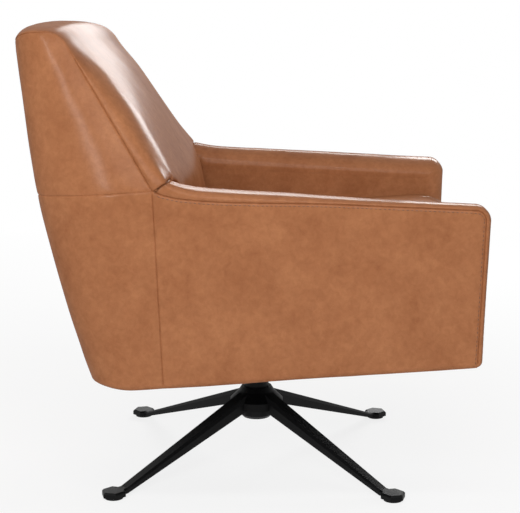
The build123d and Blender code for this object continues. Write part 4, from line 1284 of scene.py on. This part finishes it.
def softbox(name, place, aim, size, power):
    """Rectangular lamp, aimed at a point, with a power in watts."""
    light = bpy.data.lights.new(name, "AREA")
    light.shape = "RECTANGLE"
    light.size, light.size_y = size
    light.energy = power
    holder = linked(name, light)
    holder.location = place
    holder.rotation_euler = (Vector(aim) - Vector(place)).to_track_quat("-Z", "Y").to_euler()


def seen_white(tree):
    """1 for rays from the camera, off gloss or through glass."""
    path = tree.add("LightPath", {}).outputs
    either = tree.math("MAXIMUM", path["Is Camera Ray"], path["Is Glossy Ray"])
    return tree.math("MAXIMUM", either, path["Is Transmission Ray"])


def surround():
    """White all round."""
    tree = Tree(bpy.data.worlds.new("studio"))
    bpy.context.scene.world = tree.owner
    strength = tree.span(seen_white(tree), WORLD_LIGHT, 1.0)
    tree.feed(tree.nodes["Background"], {"Color": (*WHITE, 1.0), "Strength": strength})


def white_floor():
    """Floor that keeps the chair's shadow and turns white further out."""
    tree = new_finish("white_floor")
    tree.surface({"Base Color": FLOOR_COLOUR, "Roughness": 0.9})
    away = tree.add("VectorMath", {0: tree.place()}, operation="LENGTH").outputs["Value"]
    share = tree.span(away, FLOOR_GLOW, 1.0, FLOOR_NEAR, FLOOR_FAR)
    share = tree.math("MULTIPLY", share, seen_white(tree))
    lit = tree.nodes["Principled BSDF"].outputs["BSDF"]
    glow = tree.add("Emission", {}).outputs["Emission"]
    both = tree.add("MixShader", {"Fac": share, 1: lit, 2: glow}).outputs["Shader"]
    tree.feed(tree.nodes["Material Output"], {"Surface": both})
    corners = [(x * FLOOR_HALF, y * FLOOR_HALF, 0) for x, y in FLOOR_CORNERS]
    mesh_object("floor", corners, [(0, 1, 2, 3)], tree.owner)


def lights():
    softbox("overhead", (0.0, -0.6, 2.7), (0, 0, 0.4), (1.8, 1.3), 5)
    softbox("behind_right", (0.9, 2.70, 1.42), (-0.2, -0.1, 0.75), (0.75, 0.6), 28)
    softbox("behind_left", (-0.05, 2.75, 1.32), (-0.1, -0.25, 0.7), (1.05, 0.45), 16)
    softbox("wing_strip", (-1.285, -2.90, 1.52), (-0.2, -0.35, 0.55), (0.30, 1.5), 24)
    softbox("arm_strip", (-0.1, -1.9, 2.6), (0.1, 0.2, 0.5), (1.6, 0.25), 20)
    softbox("camera_side", (0.1, -3.2, 1.9), (0.0, 0, 0.45), (1.8, 1.2), 29)
    softbox("front", (3.0, -0.6, 1.5), (0.0, 0, 0.45), (1.6, 1.6), 9)


camera()
surround()
white_floor()
lights()
dress_frame()
for side in (1, -1):
    outer_side(side)
    arm_band(side)
    inner_arm(side)
    stitches(side)
lower_back()
upper_back()
back_cushion()
seat_cushion()
front_apron()
dust_cover()

bpy.context.scene.view_settings.view_transform = "Standard"
